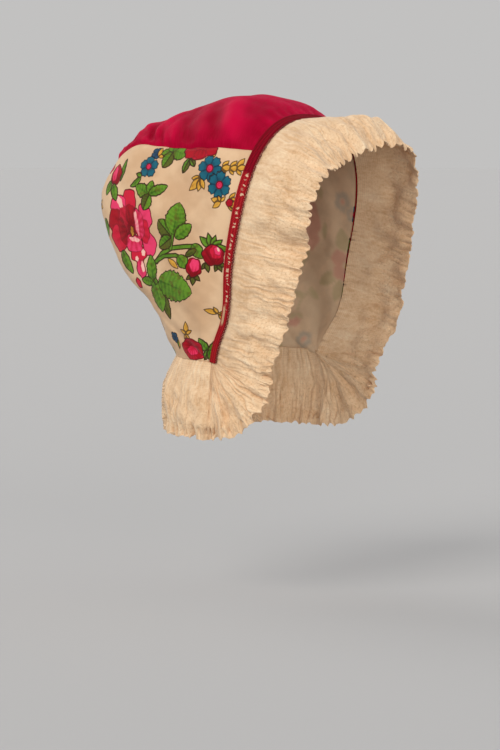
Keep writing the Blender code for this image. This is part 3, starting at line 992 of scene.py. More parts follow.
@dataclass(frozen=True)
class Fold:
    """A deep fold of the frill: its place as a share of the way to the nape, and its depth and span."""

    along: float
    depth: float
    span: float


@dataclass(frozen=True)
class Frill:
    """The gathered lace, sewn to the face edge and to both neck edges."""

    dome: Dome
    braid: Braid
    width: float = 0.050
    pitch: float = 0.018
    depth: float = 0.0014
    pleat_pitch: float = 0.0027
    pleat_depth: float = 0.00028
    tab_pitch: float = 0.0066
    tab_depth: float = 0.0042
    point_pitch: float = 0.0046
    point_depth: float = 0.0066
    tuck: float = 0.0020
    corner: float = 0.060
    nape_half_width: float = 0.029
    dip_top: float = math.radians(18)
    inward_side: float = math.radians(10)
    inward_corner: float = math.radians(1)
    outward_neck: float = math.radians(5)
    neck_bulge: float = 0.005
    top_bulge: float = 0.0085
    side_bulge: float = 0.002
    drawn_in: float = 0.11
    corner_drop: float = 0.06
    fullness: float = 1.29
    thickness: float = 0.0006
    soft_height: float = 0.0010
    soft_span: float = 0.019
    fine_height: float = 0.00055
    fine_span: float = 0.0085
    tab_rise: float = 0.0007
    below_braid: float = 0.0006
    tuck_depth: float = 0.0010
    folds: tuple[Fold, ...] = (
        Fold(-0.10, -0.10, 0.30),
        Fold(-0.24, 0.08, 0.36),
        Fold(-0.36, -0.10, 0.30),
        Fold(-0.50, -0.07, 0.36),
        Fold(-0.66, 0.06, 0.40),
        Fold(0.14, 0.27, 0.80),
        Fold(0.38, 0.08, 0.36),
        Fold(0.50, 0.13, 0.50),
        Fold(0.68, 0.08, 0.40),
    )

    def neck_end(self) -> float:
        """Where the lace ends at the nape, as a value of across."""
        return float(self.dome.across_at(np.array(1.0), self.nape_half_width))

    def neck_length(self) -> float:
        """Length of the lace along one neck edge."""
        return (1 - self.neck_end()) * float(self.dome.half_length(np.array(1.0)))

    def half(self) -> float:
        """Length of the lace from the top of the face edge to the nape."""
        return self.dome.front_length() + self.corner + self.neck_length()

    def down_face(self, way: Array) -> Array:
        """Share of the way from the top of the face edge to its corner."""
        return np.abs(way) / self.dome.front_length()

    def past_corner(self, way: Array) -> Array:
        """Share of the way round the corner, below zero before it."""
        return (np.abs(way) - self.dome.front_length()) / self.corner

    def edge_along(self, turn: float, across: Array) -> Array:
        """The direction of the face edge or the neck edge, towards the wearer's left."""
        step = 2 * STEP
        across = np.clip(across, -1 + step, 1 - step)
        turns = np.full_like(across, turn)
        return unit(self.dome.point(turns, across + step) - self.dome.point(turns, across - step))

    def station(self, way: Array) -> tuple[Array, Array, Array]:
        """Where the lace is sewn on.

        Args:
            way: distance from the top of the face edge, below zero on the wearer's right.

        Returns:
            The root, the way that the lace hangs, and the direction outwards, one row for each way.
        """
        lean, neck = self.dome.face_lean, self.dome.neck_turn
        side = np.where(way < 0, -1.0, 1.0)
        past = np.clip(self.past_corner(way), 0, 1)
        past = (past + smooth(past)) / 2
        before = (1 - past)[:, None]
        ahead, down = fan(-lean - math.pi / 2), fan(neck + math.pi / 2)
        across = side * np.clip(self.down_face(way), 0, 1)
        back, _ = self.dome.directions(np.zeros_like(across), across)
        beyond = self.braid.width_at(across)[:, None]
        edge = self.dome.point(np.zeros_like(across), across)
        first = unit(np.cross(np.broadcast_to(ahead, edge.shape), self.edge_along(0.0, across)))
        out = fan(-lean - math.pi / 2 - past * (math.pi - neck - lean))
        fair = (back + ahead) * (beyond * before)
        last = unit(np.cross(self.edge_along(1.0, side * 0.999), np.broadcast_to(down, edge.shape)))
        normal = first * before + last * past[:, None]
        normal = unit(normal - out * np.sum(normal * out, -1, keepdims=True))
        fanned_root = edge + out * (beyond * before) - fair
        root = np.where((past > 0)[:, None], fanned_root, edge - back * beyond)
        beyond_corner = np.abs(way) - self.dome.front_length() - self.corner
        share = np.clip(beyond_corner / self.neck_length(), 0, 1)
        below = side * (1 + (self.neck_end() - 1) * share)
        neck_normal = unit(np.cross(self.edge_along(1.0, below), np.broadcast_to(down, edge.shape)))
        neck_root = self.dome.point(np.ones_like(below), below)
        behind = (beyond_corner > 0)[:, None]
        return (
            np.where(behind, neck_root, root),
            np.where(behind, down, out),
            np.where(behind, neck_normal, normal),
        )

    def lean(self, way: Array) -> Array:
        """How far the lace leans off its edge: inward below zero, outward above."""
        share = self.down_face(way)
        lean = -self.dip_top + (self.dip_top - self.inward_side) * smooth(share / 0.5)
        lean += (self.inward_side - self.inward_corner) * smooth((share - 0.6) / 0.4)
        return lean + (self.inward_corner + self.outward_neck) * smooth(self.past_corner(way))

    def height(self, way: Array, out: Array) -> Array:
        """How far the ruffles and folds lift the lace off its own plane."""
        wave = 2 * math.pi * way / self.pitch + 1.1 * wander(way, 0.055, 3)
        ruffle = self.depth * np.cos(wave) * (1 + 0.35 * wander(way, 0.07, 8))
        height = ruffle * smooth(out * 1.1) ** 1.2
        past = self.past_corner(way)
        upper = 1 - smooth(self.down_face(way) / 0.55)
        bulge = self.side_bulge + (self.top_bulge - self.side_bulge) * upper
        bulge = bulge + (self.neck_bulge - bulge) * smooth(past)
        height += bulge * np.sin(math.pi * np.clip(out, 0, 1) ** 0.85)
        for fold in self.folds:
            off = (way - fold.along * self.half()) / (fold.span * self.width)
            height += fold.depth * self.width * bell(off) * smooth(out * 1.7)
        soft = self.soft_height * crumple(way, out * self.width * 0.8, self.soft_span, 5)
        soft += self.fine_height * crumple(way, out * self.width * 0.6, self.fine_span, 6)
        height += soft * smooth(out * 2.2)
        fanned = smooth(past * 3 + 1.4)
        height += self.pleats(way, out) * self.pleat_depth * (0.55 + 0.7 * fanned + 1.1 * smooth(out))
        tabs = np.cos(2 * math.pi * self.tab_place(way))
        return height + self.tab_rise * tabs * smooth((out - 0.6) / 0.4)

    def pleats(self, way: Array, out: Array) -> Array:
        """The fine pleats, from -1 in a valley to 1 on a ridge."""
        drawn = way + 0.0011 * crumple(way, out * self.width, 0.011, 32)
        return crumple(drawn, out * self.width * 0.07, self.pleat_pitch, 31)

    def tab_place(self, way: Array) -> Array:
        """Counts the tabs of the outer edge, with uneven breadths."""
        return way / self.tab_pitch + 0.3 * wander(way, 0.024, 33)

    def cut(self, way: Array) -> Array:
        """How far the outer edge is cut back between its tabs and, round a corner, its points."""
        depth = self.tab_depth * (1 + 0.35 * wander(way, 0.03, 34))
        notch = 1 - np.abs(np.sin(math.pi * self.tab_place(way))) ** 0.45
        point = np.abs(2 * ((way / self.point_pitch + 0.25 * wander(way, 0.015, 35)) % 1) - 1)
        past = self.past_corner(way)
        fanned = smooth(past * 3 + 1) * (1 - 0.5 * smooth(past * 2 - 2))
        return depth * notch * (1 - fanned) + self.point_depth * point * fanned

    def reach(self, way: Array) -> Array:
        """How far the lace reaches off its edge, less where it is drawn in beside the jaw."""
        share = self.down_face(way)
        drawn = self.drawn_in * bell((share - 0.86) / 0.13)
        return self.width * (1 - drawn + self.corner_drop * smooth((share - 1) * 6))

    def surface(self, u: Array, v: Array) -> Array:
        """The lace: u from its left end at the nape over the top to its right end, v outwards."""
        way = (1 - 2 * u) * self.half()
        root, out, normal = self.station(way)
        lean = self.lean(way)[:, None]
        leaning = out * np.cos(lean) + normal * np.sin(lean)
        standing = normal * np.cos(lean) - out * np.sin(lean)
        tucked = 1 - smooth(v * 9)
        far = v * self.reach(way) - self.cut(way) * smooth((v - 0.72) / 0.28) ** 1.5 - self.tuck * tucked
        lift = self.height(way, v) - self.below_braid - self.tuck_depth * tucked
        return root + leaning * far[:, None] + standing * lift[:, None]


@dataclass(frozen=True)
class Crease:
    """A soft fold along a line, its places given as (share of the length, share of the half-width)."""

    start: Spot
    end: Spot
    height: float
    width: float

    def rise(self, along: Array, across: Array, spans: Spot) -> Array:
        """How far the fold lifts the cloth at these places, the spans being the two whole lengths."""
        x, y = (along - self.start[0]) * spans[0], (across - self.start[1]) * spans[1]
        dx, dy = (self.end[0] - self.start[0]) * spans[0], (self.end[1] - self.start[1]) * spans[1]
        share = (x * dx + y * dy) / (dx * dx + dy * dy)
        off = (y * dx - x * dy) / math.hypot(dx, dy)
        ends = smooth(share * 2.5 + 0.5) * smooth((1 - share) * 2.5 + 0.5)
        return self.height * ends * bell(off / self.width)


@dataclass(frozen=True)
class CrownStrip:
    """The puffed strip over the middle of the head."""

    dome: Dome
    folds: tuple[Crease, ...] = (
        Crease((0.06, -1.00), (0.13, -0.40), 0.0020, 0.0070),
        Crease((0.12, -0.90), (0.18, -0.40), -0.0013, 0.0055),
        Crease((0.02, -0.80), (0.06, -0.30), -0.0012, 0.0050),
        Crease((0.19, -1.00), (0.24, -0.50), -0.0017, 0.0070),
        Crease((0.27, -1.00), (0.29, -0.45), 0.0014, 0.0065),
        Crease((0.325, -1.02), (0.335, -0.62), -0.0016, 0.0036),
        Crease((0.37, -1.00), (0.375, -0.55), 0.0014, 0.0045),
        Crease((0.415, -1.02), (0.42, -0.64), -0.0017, 0.0034),
        Crease((0.47, -1.00), (0.46, -0.45), 0.0013, 0.0050),
        Crease((0.56, -0.90), (0.53, -0.35), -0.0012, 0.0055),
        Crease((0.10, 0.95), (0.17, 0.45), 0.0015, 0.0075),
        Crease((0.21, 0.95), (0.26, 0.45), -0.0014, 0.0065),
        Crease((0.31, 0.95), (0.33, 0.50), 0.0013, 0.0055),
        Crease((0.38, 0.95), (0.39, 0.60), -0.0014, 0.0042),
        Crease((0.45, 0.92), (0.44, 0.45), 0.0012, 0.0050),
        Crease((0.54, 0.90), (0.51, 0.40), -0.0012, 0.0055),
        Crease((0.66, 0.40), (0.70, -0.35), 0.0010, 0.0065),
        Crease((0.76, -0.45), (0.84, 0.25), -0.0009, 0.0060),
    )
    puff_run: float = 0.016
    gather_depth: float = 0.0017
    gather_pitch: float = 0.0090
    gather_run: float = 0.012
    fine_pitch: float = 0.0058
    fine_run: float = 0.006
    calmed: float = 0.62  # the share of the gathers that is smoothed out over the back
    soft_height: float = 0.0005
    soft_span: float = 0.024
    pucker_depth: float = 0.0007
    pucker_pitch: float = 0.0075
    pucker_run: float = 0.009
    span_of_folds: float = 0.055

    def run(self) -> float:
        """Length of the strip over the dome."""
        return self.dome.height * (self.dome.neck_turn + self.dome.face_lean)

    def breadth(self) -> float:
        """Length over the dome between the two seams, where they lie furthest apart."""
        rows = np.linspace(0, 1, 201)
        return 2 * float((self.dome.seam(rows) * self.dome.half_length(rows)).max())

    def relief(self, u: Array, v: Array) -> Array:
        """How far the folds and puckers lift the cloth off its puffed form."""
        side = 1 - 2 * v
        half = self.dome.seam(u) * self.dome.half_length(u)
        way = u * self.run()
        off = (1 - np.abs(side)) * half
        drawn = way + off * 0.15 + 0.0015 * crumple(way, off, 0.02, 16)
        fade = off / self.gather_run * np.exp(1 - off / self.gather_run)
        gathers = 0.7 * crumple(drawn, side * 0.02, self.gather_pitch, 12)
        gathers += 1.2 * crumple(drawn, side * 0.03, self.fine_pitch, 13) * np.exp(-off / self.fine_run)
        calmer = 1 - self.calmed * smooth((u - 0.46) / 0.16)
        height = self.gather_depth * smooth((u - 0.14) / 0.25) * fade * gathers * calmer
        for fold in self.folds:
            height += fold.rise(u, side, (self.run(), self.span_of_folds)) * smooth(off / 0.006)
        height += self.soft_height * crumple(way, side * half, self.soft_span, 14) * smooth(off / 0.01)
        puckers = crumple(side * half, way * 0.3, self.pucker_pitch, 15) * np.exp(-way / self.pucker_run)
        puckers *= self.pucker_depth * smooth(way / 0.004) * smooth(off / 0.004)
        return height * smooth(u * 14) + puckers

    def surface(self, u: Array, v: Array) -> Array:
        """The strip's outside: u from the face edge to the neck edge, v from the left seam to the right."""
        side = 1 - 2 * v
        length = self.dome.half_length(u)
        edge = self.dome.seam(u) - SEAM_GAP / length
        across = side * edge
        _, normal = self.dome.directions(u, across)
        off = (1 - np.abs(side)) * edge * length
        puffed = smooth(u * self.run() / self.puff_run)
        puff = PUFF * np.sin(np.clip(off / self.puff_run, 0, 1) * math.pi / 2) * puffed
        lift = puff + self.relief(u, v) - rolled(off)
        return self.dome.point(u, across) + normal * lift[:, None]


@dataclass(frozen=True)
class SidePanel:
    """A printed panel on the wearer's right (side -1) or left (side 1)."""

    dome: Dome
    side: int
    off_lace: float = 0.0012
    flat: Spot = (0.18, 0.16)
    print_shift: float = 0.086  # how far along the print the left panel is cut
    soft_height: float = 0.0009
    soft_span: float = 0.034
    fine_height: float = 0.00025
    fine_span: float = 0.012

    def across(self, u: Array, down: Array) -> Array:
        """Where a place on the panel lies, as a value of the dome's across."""
        length = self.dome.half_length(u)
        top = self.dome.seam(u) + SEAM_GAP / length
        return self.side * (top + (1 - self.off_lace / length - top) * down)

    def down(self, v: Array) -> Array:
        """Share of the way from the seam to the corner."""
        return 1 - v if self.side > 0 else v

    def place(self, u: Array, v: Array) -> tuple[Array, Array]:
        """Places on the flat cloth, in metres: back from and up from the lower front corner."""
        length = (1 - np.abs(self.across(u, self.down(v)))) * self.dome.half_length(u)
        return np.sin(self.dome.angle(u)) * length, np.cos(self.dome.angle(u)) * length

    def printed(self, back: Array, up: Array) -> Printing:
        """The print on these places of the flat cloth, the two panels being cut from one length."""
        along = back - self.print_shift if self.side > 0 else -back
        printing = Printing(along / MM, up / MM)
        for motif in MEADOW:
            motif.stamp(printing)
        return printing

    def surface(self, u: Array, v: Array) -> Array:
        """The panel's outside: u from the face edge to the neck edge, v between seam and corner."""
        down = self.down(v)
        across = self.across(u, down)
        _, normal = self.dome.directions(u, across)
        rim = smooth(8 * u) * smooth(8 * (1 - u)) * smooth(8 * down)
        off = (np.abs(across) - self.dome.seam(u)) * self.dome.half_length(u)
        back, up = self.place(u, v)
        soft = self.soft_height * crumple(back, up, self.soft_span, 20 + self.side)
        soft += self.fine_height * crumple(back, up, self.fine_span, 25)
        return self.dome.point(u, across) + normal * (soft * rim - rolled(off))[:, None]


@dataclass(frozen=True)
class Tab:
    """A tape end at the nape, beside the seam."""

    frill: Frill
    crown: CrownStrip
    side: int
    length: float = 0.007
    width: float = 0.006
    place: float = 0.72
    sunk: float = 0.0006  # how far its root lies inside the crown's cloth
    below: float = 0.0004
    curl: float = 0.0005
    thickness: float = 0.0010

    def surface(self, u: Array, v: Array) -> Array:
        """The tape's outside: u across it, v outwards."""
        dome = self.crown.dome
        down = fan(dome.neck_turn + math.pi / 2)
        across = np.array([self.side * self.place * float(dome.seam(np.array(1.0)))])
        along = self.frill.edge_along(1.0, across)[0]
        normal = unit(np.cross(along, down))
        out = (down + normal) / math.sqrt(2)
        edge = self.crown.surface(np.array([1.0]), np.array([(1 - self.side * self.place) / 2]))[0]
        root = edge - normal * self.sunk + down * self.below
        curl = self.curl * np.sin(v * 2.2 + 0.4)
        return (
            root
            + along * ((u - 0.5) * self.width)[:, None]
            + out * (v * self.length)[:, None]
            + np.cross(along, out) * curl[:, None]
        )


def sateen() -> Finish:
    """Magenta cotton sateen: painted shade in the valleys of its folds and painted light where they stand
    up, with random fading, and painted sheen in lighter streaks along the cloth.
    """
    finish = Finish("magenta_sateen", roughness=0.5, sheen=0.35, sheen_roughness=0.45, specular=0.03)
    finish.set("Sheen Tint", ink(250, 20, 100))
    across, along, place = finish.cloth()
    streaks = finish.noise(finish.vector(across * 0.12, along * 1.4), 1.0, 3.0)
    faded = finish.noise(place, 0.035, 4.0)
    # painted shade and light: darker crimson in the valleys of the folds and lighter on their ridges,
    # together with random fading from the noise
    stands = finish.value("fold") * 0.55 + faded * 0.9 - 0.45
    color = finish.mix(stands.ramp(-0.55, 0.75), ink(140, 0, 30), ink(194, 8, 58))
    # painted sheen: lighter streaks along the cloth
    color = finish.mix(streaks.ramp(0.35, 0.75) * 0.25, color, ink(204, 16, 68))
    finish.set("Base Color", color)
    finish.set("Roughness", streaks.ramp(0.3, 0.7, 0.42, 0.58))
    floats = (across * (2 * math.pi / 0.42) + streaks * 5).sine()
    finish.bump(floats * 0.4 + streaks + finish.noise(place, 0.9, 2.0) * 0.5, 0.00010, 0.45)
    return finish


@dataclass(frozen=True)
class Dye:
    """The dark and the light tone of an ink, and the colour of the line round it."""

    dark: Color
    light: Color
    line: Color
    line_weight: float = 0.85


RED_LINE = ink(104, 6, 20)
BROWN_LINE = ink(52, 34, 16)
DYES = {
    Ink.LEAF: Dye(ink(50, 88, 16), ink(104, 150, 40), BROWN_LINE, 0.75),
    Ink.MOSS: Dye(ink(52, 60, 14), ink(92, 100, 34), BROWN_LINE, 0.75),
    Ink.OCHRE: Dye(ink(172, 112, 34), ink(222, 168, 66), BROWN_LINE, 0.85),
    Ink.BLUE: Dye(ink(12, 50, 72), ink(28, 98, 118), ink(10, 24, 38)),
    Ink.NAVY: Dye(ink(20, 38, 64), ink(40, 76, 104), ink(14, 22, 36)),
    Ink.WINE: Dye(ink(120, 2, 16), ink(172, 10, 32), RED_LINE, 0.35),
    Ink.ROSE: Dye(ink(160, 6, 30), ink(210, 26, 58), RED_LINE, 0.35),
    Ink.PINK: Dye(ink(190, 14, 50), ink(238, 62, 110), RED_LINE, 0.3),
    Ink.BLUSH: Dye(ink(242, 120, 142), ink(252, 198, 184), RED_LINE, 0.0),
}


def challis() -> Finish:
    """Cream wool challis, printed with roses."""
    finish = Finish("rose_challis", roughness=0.82, sheen=0.12, specular=0.12)
    across, along, place = finish.cloth()
    worn = finish.noise(place, 0.03, 4.0)
    color = finish.mix(worn.ramp(0.3, 0.7), ink(208, 170, 133), ink(227, 193, 156))
    fibres = finish.noise(place, 1.6, 2.0)
    tired = finish.noise(place, 0.22, 3.0).ramp(0.5, 0.72)
    tone = finish.value("tone") * 0.8 + finish.noise(place, 0.35, 3.0) * 0.5 - 0.15
    for whole, under in (("flower", ink(186, 16, 46)), ("foliage", ink(60, 76, 18))):
        color = finish.mix(finish.value(whole).ramp(0.14, -0.14), color, under)
    for shade, dye in DYES.items():
        edge = finish.value(shade.value) + (fibres - 0.5) * 0.22
        painted = finish.mix(tone.ramp(0.1, 0.9), dye.dark, dye.light)
        soft = 0.3 if shade in FLOWERS else 0.14
        if shade in FOLIAGE:
            painted = finish.mix(tired * 0.6, painted, ink(96, 78, 26))
        color = finish.mix(edge.ramp(soft, -soft), color, painted)
        if dye.line_weight:
            color = finish.mix(abs(edge + 0.05).ramp(0.46, 0.2) * dye.line_weight, color, dye.line)
    for whole, line in (("flower", RED_LINE), ("foliage", BROWN_LINE)):
        edge = finish.value(whole) + (fibres - 0.5) * 0.3
        color = finish.mix(abs(edge + 0.05).ramp(0.55, 0.25) * 0.9, color, line)
    finish.set("Base Color", color)
    weave = across.wave(0.55) * along.wave(0.62)
    finish.bump(weave * 0.5 + finish.noise(place, 0.8, 3.0), 0.00012, 0.5)
    return finish


def lace_finish(frill: Frill) -> Finish:
    """Cream cotton lace: a spotted net by the braid, looped and puffed towards its edge, with painted shade
    in the valleys of its pleats, painted shade and light in streaks and patches, and painted highlights.
    """
    finish = Finish("cream_lace", roughness=0.9, sheen=0.25, specular=0.2)
    way, out, place = finish.cloth()
    width = frill.width / MM
    strands = finish.noise(finish.vector(way * 1.3, out * 0.34), 1.0, 3.0, 0.6)
    tufts = finish.noise(finish.vector(way * 0.45, out * 0.38), 1.0, 4.0, 0.65)
    broad = finish.noise(place, 0.055, 3.0)
    pleat_shade = finish.value("pleat_shade")
    outer = (out / width).ramp(0.28, 0.5)
    looped = finish.make(
        "ShaderNodeTexVoronoi",
        {"feature": "F1", "voronoi_dimensions": "2D"},
        {"Vector": finish.vector(way * 0.95, out * 0.6), "Scale": 1.0, "Randomness": 0.9},
        "Distance",
    )
    spots = (way + out * 0.8).wave(1.7) * (way - out * 0.8).wave(1.7)
    # painted shade and light: darker in the valleys of the pleats, and noise streaks and patches that paint
    # the pleats and puffs in shade and in light
    light = pleat_shade * 0.1 + strands * 0.32 + tufts * 0.7 + broad * 0.7 - 0.36
    color = finish.mix(light.ramp(0.1, 0.62), ink(214, 174, 132), ink(235, 202, 164))
    # painted highlights where the lace is lightest
    color = finish.mix(light.ramp(0.5, 0.95), color, ink(248, 224, 190))
    color = finish.mix(looped.ramp(0.4, 0.75) * outer * 0.3, color, ink(208, 166, 124))
    finish.set("Base Color", color)
    net = spots.ramp(-0.45, -0.8) * (1 - outer)
    eyelets = looped.ramp(0.62, 0.75) * outer
    ends = (abs(way) / (frill.half() / MM)).ramp(0.9, 0.97)
    thin = finish.noise(place, 1.0, 2.0).ramp(0.5, 0.58) * ends
    holes = (net * 0.2).at_least(eyelets * 0.11).at_least(thin * 0.6)
    finish.set("Alpha", 1 - holes)
    relief = strands * 0.7 + spots.ramp(0.2, 0.9) * (1 - outer) * 0.5 - looped * outer * 0.8
    finish.bump(relief, 0.0004, 0.6)
    return finish


SHOWING_THROUGH = {
    "flower": ink(206, 120, 116),
    "foliage": ink(164, 158, 110),
    "blue": ink(140, 150, 150),
}


def reverse(name: str, color: Color, shows: bool = False) -> Finish:
    """The dull wrong side of a cloth, where a print may show through a little."""
    finish = Finish(name, roughness=0.95, specular=0.1)
    across, along, place = finish.cloth()
    worn = finish.noise(place, 0.05, 4.0)
    darker = tuple(part * 0.82 for part in color)
    shade = finish.mix(worn.ramp(0.3, 0.7), darker, color)
    if shows:
        for whole, through in SHOWING_THROUGH.items():
            shade = finish.mix(finish.value(whole).ramp(1.4, -2.0) * 0.45, shade, through)
    finish.set("Base Color", shade)
    weave = across.wave(0.6) * along.wave(0.6)
    finish.bump(weave + finish.noise(place, 0.7, 3.0), 0.0001, 0.4)
    return finish


def braid_finish(braid: Braid) -> Finish:
    """Red cotton braid: a plain rib beside a band with cream flecks."""
    finish = Finish("red_braid", roughness=0.75, specular=0.06)
    way, breadth, place = finish.cloth()
    share = abs(way) / (braid.dome.front_length() / MM)
    over_panel = share.ramp(0.385, 0.40)
    uneven = finish.noise(place, 0.3, 2.0)
    cell = way / 2.9 + uneven * 1.9
    aside = (cell.wrapped() - 0.5) * 2.9
    drawn = finish.noise(finish.vector(cell.whole() * 0.61, 7.0), 1.0, 1.0)
    ragged = finish.noise(place, 0.9, 1.0)
    beside = breadth - 3.0 - (drawn - 0.5) * 3.0
    away = (aside * aside + beside * beside * 0.6) ** 0.5 + (ragged - 0.5) * 0.9
    flecked = away.ramp(0.84, 0.5) * drawn.ramp(0.42, 0.46) * over_panel * share.ramp(0.84, 0.8) * 0.9
    turned = share.ramp(0.805, 0.82) * share.ramp(0.88, 0.865)
    turned = turned * breadth.ramp(1.0, 1.4) * breadth.ramp(3.0, 2.6)
    twist = (way + breadth * 0.9).wave(1.15)
    threads = finish.noise(finish.vector(way * 2.2, breadth * 2.2), 1.0, 2.0)
    cords = breadth.wave(1.7)
    light = (twist * 0.3 + threads).ramp(0.2, 0.9)
    over_crown = finish.mix(light, ink(108, 2, 22), ink(168, 18, 40))
    color = finish.mix(light, ink(150, 18, 28), ink(204, 46, 52))
    color = finish.mix(over_panel, over_crown, color)
    color = finish.mix(cords.ramp(-0.3, -0.9) * 0.5, color, ink(74, 4, 14))
    color = finish.mix(flecked, color, ink(234, 200, 166))
    color = finish.mix(turned * 0.85, color, ink(214, 178, 140))
    finish.set("Base Color", color)
    finish.bump(twist * 0.6 + threads + cords * 0.5, 0.0003, 0.8)
    return finish


def loop_finish() -> Finish:
    """Crimson sewing thread."""
    finish = Finish("crimson_thread", roughness=0.7, specular=0.3)
    place = finish.make("ShaderNodeTexCoord", {}, {}, "Object")
    values = {"Vector": place, "Scale": 900.0, "Detail": 2.0}
    uneven = finish.make("ShaderNodeTexNoise", {}, values)
    finish.set("Base Color", finish.mix(uneven.ramp(0.35, 0.65), ink(84, 14, 18), ink(146, 40, 42)))
    finish.bump(uneven, 0.0001, 0.6)
    return finish


class Bonnet:
    """All pieces of the bonnet."""

    def __init__(self) -> None:
        """Lays out the pieces on one dome."""
        self.dome = Dome()
        self.braid = Braid(self.dome)
        self.frill = Frill(self.dome, self.braid)
        self.crown = CrownStrip(self.dome)

    def join(
        self,
        cloth: Cloth,
        node: str,
    ) -> None:
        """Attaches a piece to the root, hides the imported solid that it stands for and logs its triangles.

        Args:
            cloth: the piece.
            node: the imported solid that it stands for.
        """
        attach(cloth.piece, "root")
        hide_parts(node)
        triangles = sum(len(polygon.vertices) - 2 for polygon in cloth.piece.data.polygons)
        LOG.info("%s: %d triangles", cloth.name, triangles)

    def add_crown(self) -> None:
        """Makes the crown strip."""
        cloth = Cloth("crown_cloth", self.crown.surface, (200, 150), (100, 75), WALL)
        # the folds' rise, which paints shade into their valleys and light onto their ridges in the sateen's
        # colour
        cloth.give_values("fold", self.crown.relief(cloth.u, cloth.v) / FOLD_SHADE_HEIGHT)
        sideways = (1 - 2 * cloth.v) * self.dome.seam(cloth.u) * self.dome.half_length(cloth.u)
        cloth.give_map(sideways, cloth.u * self.crown.run())
        cloth.dress(sateen(), reverse("sateen_reverse", ink(150, 22, 50)))
        flat = (self.crown.breadth(), self.crown.run())
        self.join(cloth, "crown_strip")

    def add_panel(self, name: str, side: int, face: Finish, inside: Finish) -> None:
        """Makes one side panel and puts the print on it."""
        panel = SidePanel(self.dome, side)
        cloth = Cloth(f"panel_{name}", panel.surface, (330, 230), (110, 77), WALL)
        back, up = panel.place(cloth.u, cloth.v)
        cloth.give_map(back, up)
        printing = panel.printed(back, up)
        for shade, layer in printing.layers.items():
            cloth.give_values(shade.value, layer)
        cloth.give_values("tone", printing.tone)
        cloth.give_values("flower", printing.flower)
        cloth.give_values("foliage", printing.foliage)
        cloth.dress(face, inside)
        node, on = f"side_panel_{name}", ["crown_strip"]
        self.join(cloth, node)

    def add_tape(self, name: str, side: int, finish: Finish) -> None:
        """Makes one of the tape ends."""
        tab = Tab(self.frill, self.crown, side)
        tape = Cloth(f"tape_end_{name}", tab.surface, (12, 14), (6, 7), tab.thickness)
        tape.give_map(tape.u * tab.width, tape.v * tab.length)
        tape.dress(finish, finish)
        area = tab.width * tab.length
        self.join(tape, f"nape_tab_{name}")

    def add_braid(self) -> None:
        """Makes the braid with its loops."""
        band = Cloth("braid_band", self.braid.surface, (900, 16), (450, 4), self.braid.thickness)
        length = 2 * self.dome.front_length()
        band.give_map((0.5 - band.u) * length, band.v * self.braid.width)
        red = braid_finish(self.braid)
        band.dress(red, red)
        loops = self.braid.loops()
        loops.data.materials.append(loop_finish().material)
        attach(loops, "root")
        self.join(band, "front_binding")

    def add_lace(self) -> None:
        """Makes the lace."""
        lace = Cloth("lace_cloth", self.frill.surface, (1250, 32), (1250, 16), self.frill.thickness)
        ways = (1 - 2 * lace.u) * self.frill.half()
        lace.give_map(ways, lace.v * self.frill.width)
        # the pleats' rise, which paints shade into their valleys in the lace's colour
        lace.give_values("pleat_shade", self.frill.pleats(ways, lace.v))
        finish = lace_finish(self.frill)
        lace.dress(finish, finish)
        flat = (self.frill.width, 2 * self.frill.half() * self.frill.fullness)
        self.join(lace, "lace_frill")

    def build(self) -> None:
        """Makes every piece."""
        inside = reverse("challis_reverse", ink(232, 204, 170), shows=True)
        tape_finish = reverse("tape_reverse", ink(214, 188, 150))
        face = challis()
        self.add_crown()
        for name, side in (("right", -1), ("left", 1)):
            self.add_panel(name, side, face, inside)
            self.add_tape(name, side, tape_finish)
        self.add_braid()
        self.add_lace()


def facing(azimuth: float, elevation: float) -> Vector:
    """The direction from the bonnet to what stands at these angles, in degrees.

    Args:
        azimuth: 0 before the face opening and -90 at the wearer's right.
        elevation: how far up.

    Returns:
        The direction, 1 long.
    """
    side, rise = math.radians(azimuth), math.radians(elevation)
    return Vector((math.sin(side) * math.cos(rise), -math.cos(side) * math.cos(rise), math.sin(rise)))


def stand(name: str, data: bpy.types.ID, place: Vector, back: Vector) -> bpy.types.Object:
    """Puts a camera or a light at a place, with its back turned this way."""
    holder = bpy.data.objects.new(name, data)
    bpy.context.scene.collection.objects.link(holder)
    holder.location = place
    holder.rotation_mode = "QUATERNION"
    holder.rotation_quaternion = (-back).to_track_quat("-Z", "Y")
    return holder


@dataclass(frozen=True)
class Light:
    """A broad, even light, its angles in degrees round the bonnet as the camera's are."""

    name: str
    azimuth: float
    elevation: float
    softness: float
    power: float
    color: Color

    def add(self) -> None:
        """Puts the light into the scene."""
        data = bpy.data.lights.new(self.name, "SUN")
        data.angle = math.radians(self.softness)
        data.energy = self.power
        data.color = self.color
        back = facing(self.azimuth, self.elevation)
        stand(self.name, data, back * 2, back)


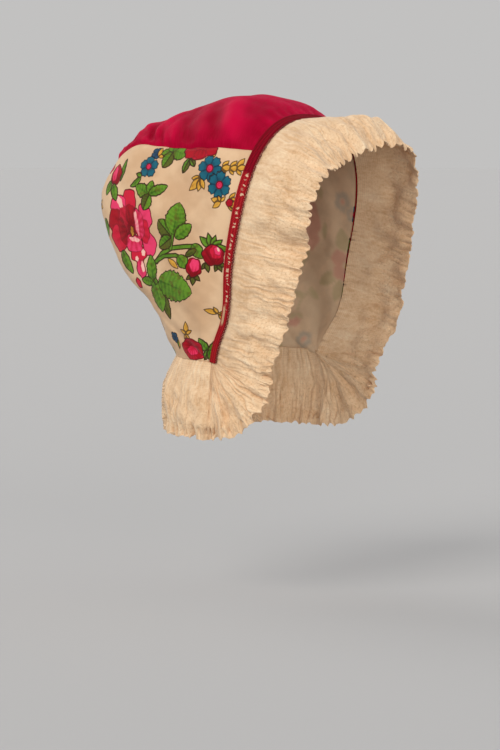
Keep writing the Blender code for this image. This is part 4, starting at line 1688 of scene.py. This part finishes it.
@dataclass(frozen=True)
class Studio:
    """The camera, the floor and the lights."""

    azimuth: float = -55
    elevation: float = 4
    distance: float = 2.2
    lens: float = 155.2
    center: tuple[float, float, float] = (0, -0.01, -0.11)
    shift_left: float = 0.0109
    shift_down: float = 0.0796
    floor: float = -0.34
    floor_size: float = 60.0
    floor_color: Color = (0.464, 0.467, 0.477)
    backdrop_color: Color = (0.98, 0.97, 0.96)
    backdrop_power: float = 0.55
    lights: tuple[Light, ...] = (
        Light("key", -84, 38, 30, 1.14, (1.0, 0.96, 0.9)),
        Light("fill", -42, 3, 50, 1.4, (1.0, 0.97, 0.93)),
        Light("rim", 170, 40, 40, 0.5, (1.0, 0.98, 0.95)),
    )

    def add_camera(self) -> None:
        """Stands the camera where the photograph was taken from."""
        back = facing(self.azimuth, self.elevation)
        side = math.radians(self.azimuth)
        right = Vector((math.cos(side), math.sin(side), 0))
        aside = right * self.shift_left + back.cross(right) * self.shift_down
        data = bpy.data.cameras.new("Camera")
        data.lens = self.lens
        data.clip_end = 50
        place = Vector(self.center) + back * self.distance - aside
        bpy.context.scene.camera = stand("Camera", data, place, back)

    def add_floor(self) -> None:
        """Lays the floor."""
        shape = bmesh.new()
        down = Matrix.Translation((0, 0, self.floor))
        bmesh.ops.create_grid(shape, x_segments=1, y_segments=1, size=self.floor_size, matrix=down)
        floor = add_piece("floor", shape)
        finish = Finish("pale_floor", roughness=0.9, sheen=0.2)
        finish.set("Base Color", self.floor_color)
        floor.data.materials.append(finish.material)

    def build(self) -> None:
        """Sets up the camera, the floor, the backdrop and the lights."""
        self.add_camera()
        bpy.context.scene.view_settings.view_transform = "Standard"
        self.add_floor()
        world = bpy.data.worlds.new("studio")
        world.use_nodes = True
        backdrop = world.node_tree.nodes["Background"]
        backdrop.inputs["Color"].default_value = (*self.backdrop_color, 1)
        backdrop.inputs["Strength"].default_value = self.backdrop_power
        bpy.context.scene.world = world
        for light in self.lights:
            light.add()


def main() -> None:
    """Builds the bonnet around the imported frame."""
    logging.basicConfig(level=logging.INFO, format="%(message)s")
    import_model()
    Bonnet().build()
    Studio().build()


if __name__ == "__main__":
    main()
